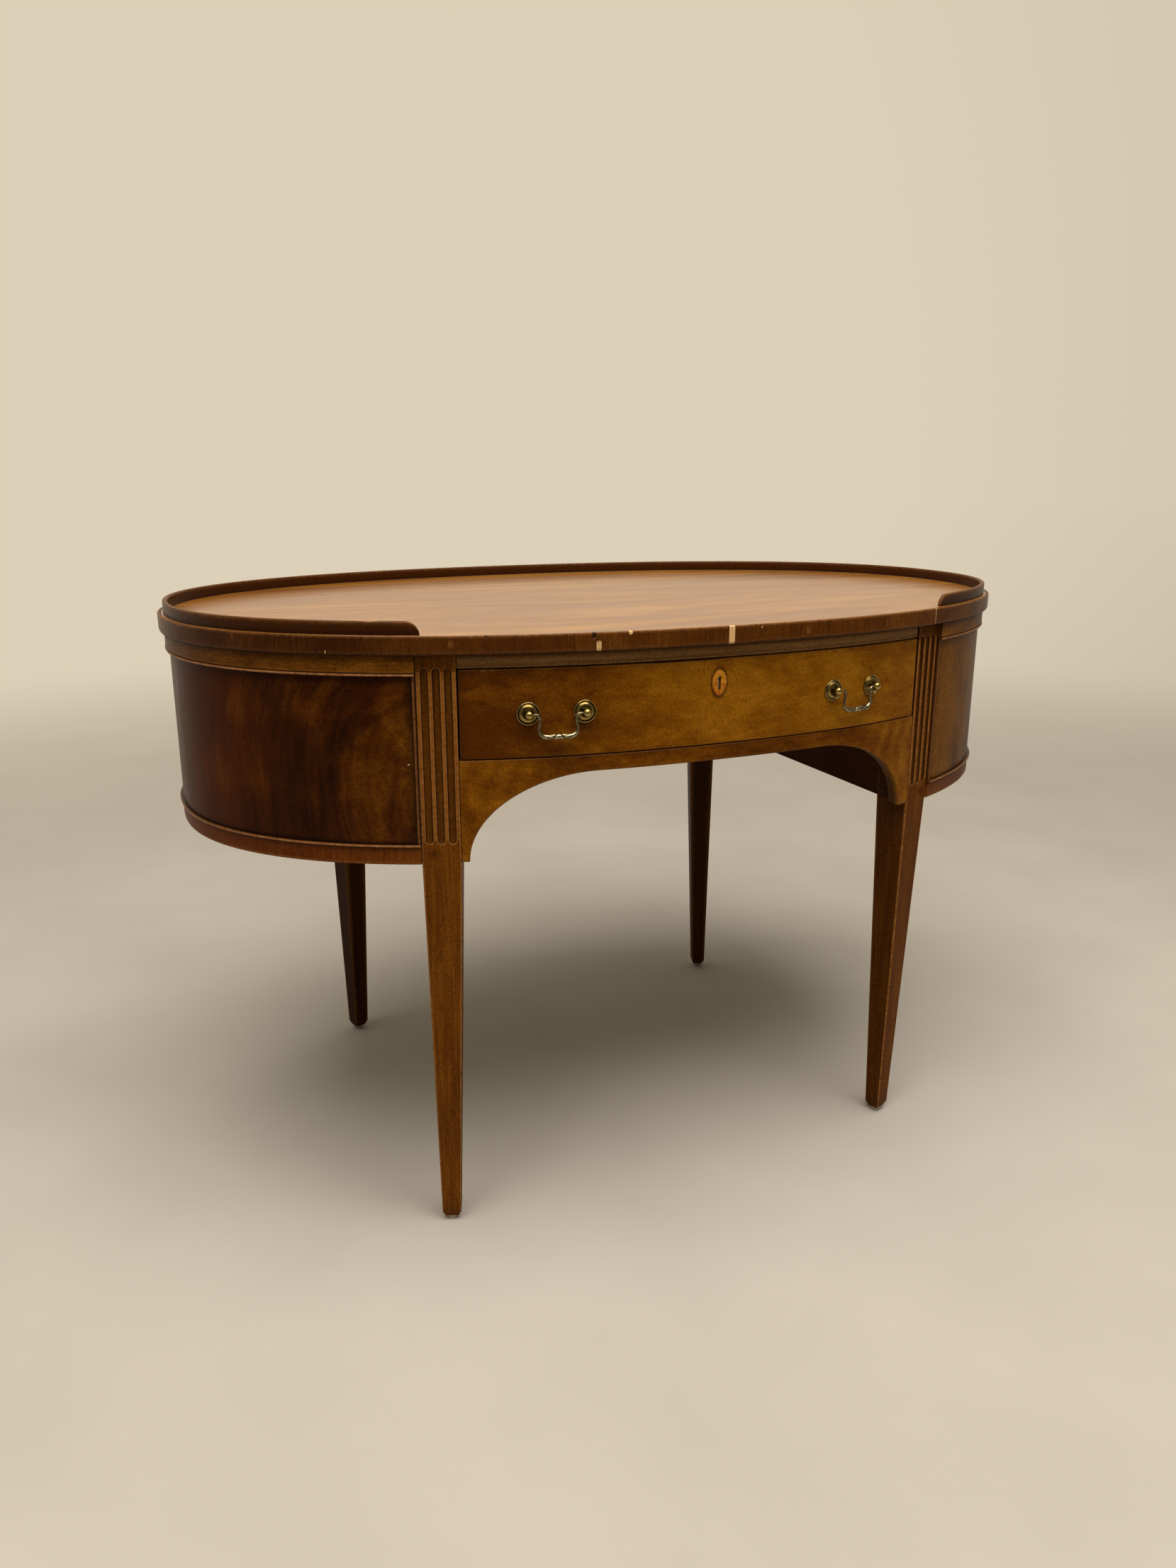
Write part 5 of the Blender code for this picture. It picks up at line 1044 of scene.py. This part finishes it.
# The bail: a smooth curve through its knots, skinned with a round section whose radius follows the knots.
# Two leaves wrap the grip from its ends: each stops in a slanting groove, |s| = middle - slant * sin(turn),
# which leaves a saddle between them that is wider below than above.
def bailGrid(half, middle, alongWay):
    drop, shoulder = handle["drop"], half - handle["shoulder"]
    pin, arm, grip = handle["pinRadius"], handle["bailRadius"], handle["gripRadius"]
    knots = np.array([
        (half - ball / 8, 0, pin), (half - ball, 0, pin), (shoulder + 0.0032, -0.01 * drop, arm),
        (shoulder + 0.0006, -0.09 * drop, arm * 1.05), (shoulder, -0.22 * drop, arm),
        (shoulder + 0.0009, -0.42 * drop, arm), (shoulder + 0.0016, -0.64 * drop, arm),
        (shoulder + 0.0004, -0.83 * drop, arm * 1.25), (shoulder - 0.0034, -0.965 * drop, arm * 1.55),
        (shoulder - 0.0090, -drop, grip)])
    knots = np.concatenate([knots * (-1, 1, 1), [(0, -drop, grip)], knots[::-1]])
    span = runLength(knots[:, :2])
    slope = np.gradient(knots, span, axis=0)
    at = np.linspace(0, span[-1], handle["bailStations"])
    cell = np.clip(np.searchsorted(span, at, side="right") - 1, 0, len(span) - 2)
    gap = (span[cell + 1] - span[cell])[:, None]
    t = (at - span[cell])[:, None] / gap
    route = ((1 + 2 * t) * (1 - t) ** 2 * knots[cell] + t * (1 - t) ** 2 * gap * slope[cell]
             + t * t * (3 - 2 * t) * knots[cell + 1] + t * t * (t - 1) * gap * slope[cell + 1])
    tangent = np.gradient(route[:, :2], axis=0)
    tangent /= np.linalg.norm(tangent, axis=1, keepdims=True)
    off = np.abs(at - span[-1] / 2)[:, None]
    turns = np.linspace(0, 2 * math.pi, handle["bailSpokes"], endpoint=False)
    lobe = handle["leafMiddle"] - handle["leafSlant"] * np.sin(turns)
    groove = hump(off, lobe, handle["grooveWidth"])
    leaf = smoothStep(0, 0.0008, off - lobe) * (1 - smoothStep(0.004, 0.010, off - lobe))
    ribs = 0.5 + 0.5 * np.cos(5 * turns + 420 * off)
    saddle = smoothStep(0.0004, -0.0004, off - lobe)
    radius = route[:, 2:] * (1 + 0.20 * leaf * (0.55 + 0.45 * ribs) + 0.14 * saddle - 0.26 * groove)
    flatX = route[:, :1] - radius * np.sin(turns) * tangent[:, 1:]
    flatZ = route[:, 1:2] + radius * np.sin(turns) * tangent[:, :1]
    across = np.array([-alongWay[1], alongWay[0]])
    plan = middle + flatX[..., None] * alongWay + (radius * np.cos(turns))[..., None] * across
    atBall = smoothStep(span[-1] / 2 - 0.010, span[-1] / 2 - 0.003, off)
    # painted shade on the underside of the bail
    underShade = np.sin(turns) < -0.5
    return lifted(plan, handleZ + flatZ), {
        "wear": np.clip(0.05 + 0.45 * hump(off, 0.012, 0.012) * ribs + 0.25 * saddle - 0.6 * groove, 0, 1),
        "grime": np.clip(0.95 * groove + 0.6 * leaf * (1 - ribs) + 0.3 * underShade + 0.5 * atBall, 0, 1)}


faceLengths = runLength(faceLine)
for side, wayOut in (("left", -1), ("right", 1)):
    label = side.capitalize()
    at = np.interp(lockX + wayOut * handle["spacing"] / 2, faceLine[:, 0], faceLengths)
    at = at + np.array([-0.5, 0.5]) * handle["centres"]
    seats, outs = pickAt(at, faceLengths, faceLine), pickAt(at, faceLengths, faceNormal)
    outs /= np.linalg.norm(outs, axis=1, keepdims=True)
    for end, seat, out in zip(("outer", "inner")[::-wayOut], seats, outs):
        name = label + end.capitalize()
        setPiece("rosette" + name, spun(rosetteProfile, seat, out, handle["rosetteSpokes"]),
                 {"grime": rosetteGrime, "wear": rosetteWear}, oldBrass, "drawer", "antique_brass",
                 f"rosette_{side}_{end}", closed=(True, True), crease=50)
        setPiece("handlePost" + name, spun(postProfile, seat, out, handle["postSpokes"]),
                 {"grime": postGrime, "wear": postWear}, oldBrass, "drawer", "antique_brass",
                 f"handle_post_{side}_{end}", closed=(True, False), merge=True, crease=50)
    balls = seats + handle["pivotReach"] * outs
    width = np.linalg.norm(balls[1] - balls[0])
    grid, marks = bailGrid(width / 2, balls.mean(axis=0), (balls[1] - balls[0]) / width)
    setPiece("bail" + label, grid, marks, bailBrass, f"bail_{side}", "antique_brass", f"bail_{side}",
             crease=60)
print("handles built")

# CAD pieces whose own shape is right take their finish here
for kinds, material in ((("kneehole_side", "casing_floor", "drawer_runner", "drawer_kicker"), carcassWood),
                        (("drawer_side", "drawer_back", "drawer_bottom"), oakLining),
                        (("glide",), glideSteel), (("lock_case",), lockSteel),
                        (("lock_bolt", "handle_nut"), oldBrass)):
    for name, node in nodes.items():
        if name.startswith(kinds):
            node.data.materials.clear()
            node.data.materials.append(material)

# the floor: a wide round sheet, rings about the desk's middle, that fades far off into the room's own light
studio = {"floorRadius": 30.0, "rings": 30, "spokes": 96, "fadeFrom": 1.0, "fadeTo": 4.6,
          "floorTints": ("#a5a19a", "#aca8a1"), "roomTint": "#fcedd2",
          "before": 0.17, "behind": 0.74, "turnsFrom": -0.6, "turnsTo": 0.8}
ringOut = studio["floorRadius"] * np.linspace(0, 1, studio["rings"])[:, None] ** 2
spoke = np.linspace(0, 2 * math.pi, studio["spokes"], endpoint=False)
grid = np.broadcast_arrays(ringOut * np.cos(spoke), ringOut * np.sin(spoke), 0.0 * ringOut)
grid = np.stack(grid, axis=-1)


# the room's light by direction: dim before the desk, bright behind it
def roomLight(tree, way):
    ahead = addNode(tree, "SeparateXYZ", {}, {"Vector": way}, out="Y")
    return addNode(tree, "MapRange", {"From Min": studio["turnsFrom"], "From Max": studio["turnsTo"],
                                      "To Min": studio["before"], "To Max": studio["behind"]},
                   {"Value": ahead})


# matt emulsion, rolled on a floor: even and pale, faintly mottled
floorPaint, tree, shader = newMaterial("rolledMattEmulsion")
place = addNode(tree, "TexCoord", out="Object")
mottle = addNode(tree, "TexNoise", {"Scale": 3.0, "Detail": 5.0}, {"Vector": place})
tint = addNode(tree, "ValToRGB", {}, {"Fac": mottle}, [*zip((0.3, 0.7), studio["floorTints"])])
away = addNode(tree, "VectorMath", {"operation": "LENGTH"}, {0: place}, out="Value")
far = addNode(tree, "MapRange", {"interpolation_type": "SMOOTHSTEP", "From Min": studio["fadeFrom"],
                                 "From Max": studio["fadeTo"]}, {"Value": away})
tint = addNode(tree, "Mix", {"data_type": "RGBA", 7: (0, 0, 0, 1)}, {0: far, 6: tint}, out=2)
glow = roomLight(tree, addNode(tree, "VectorMath", {"operation": "NORMALIZE"}, {0: place}))
glow = addNode(tree, "Math", {"operation": "MULTIPLY"}, {0: glow, 1: far})
addNode(tree, shader, {"Emission Color": toLinear(studio["roomTint"]), "Roughness": 0.8,
                       "Specular IOR Level": 0.0}, {"Base Color": tint, "Emission Strength": glow})
floor = bpy.data.objects.new("studioFloor", skin("studioFloor", grid, {}, caps=False, merge=True))
floor.data.materials.append(floorPaint)
bpy.context.scene.collection.objects.link(floor)


def aimed(name, data, place, forward):   # a lamp or camera that looks this way
    holder = bpy.data.objects.new(name, data)
    holder.location = place
    holder.rotation_euler = Vector(forward).to_track_quat("-Z", "Y").to_euler()
    bpy.context.scene.collection.objects.link(holder)
    return holder


# soft light: a broad ceiling panel above and before the desk, and the room
ceiling = {"place": (-0.25, -1.0, 3.5), "aim": (-0.05, -0.2, 0.4), "size": (3.6, 2.6),
           "power": 222, "tint": "#fff6ea"}
lamp = bpy.data.lights.new("ceiling", "AREA")
lamp.shape, lamp.energy, lamp.color = "RECTANGLE", ceiling["power"], toLinear(ceiling["tint"])[:3]
lamp.size, lamp.size_y = ceiling["size"]
aimed("ceiling", lamp, ceiling["place"], Vector(ceiling["aim"]) - Vector(ceiling["place"]))
room = bpy.data.worlds.new("room")
room.use_nodes = True
tree = room.node_tree
addNode(tree, tree.nodes["Background"], {"Color": toLinear(studio["roomTint"])},
        {"Strength": roomLight(tree, addNode(tree, "TexCoord", out="Generated"))})
bpy.context.scene.world = room
bpy.context.scene.view_settings.view_transform = "Standard"

# the camera stands where the photograph was taken from
view = {"place": (-0.65436, -1.49076, 0.90448), "forward": (0.37768, 0.88740, -0.26434),
        "lens": 26.33, "sensor": 36.0}
camera = bpy.data.cameras.new("camera")
camera.lens, camera.sensor_width, camera.clip_start = view["lens"], view["sensor"], 0.05
bpy.context.scene.camera = aimed("camera", camera, view["place"], view["forward"])

bpy.context.view_layer.update()
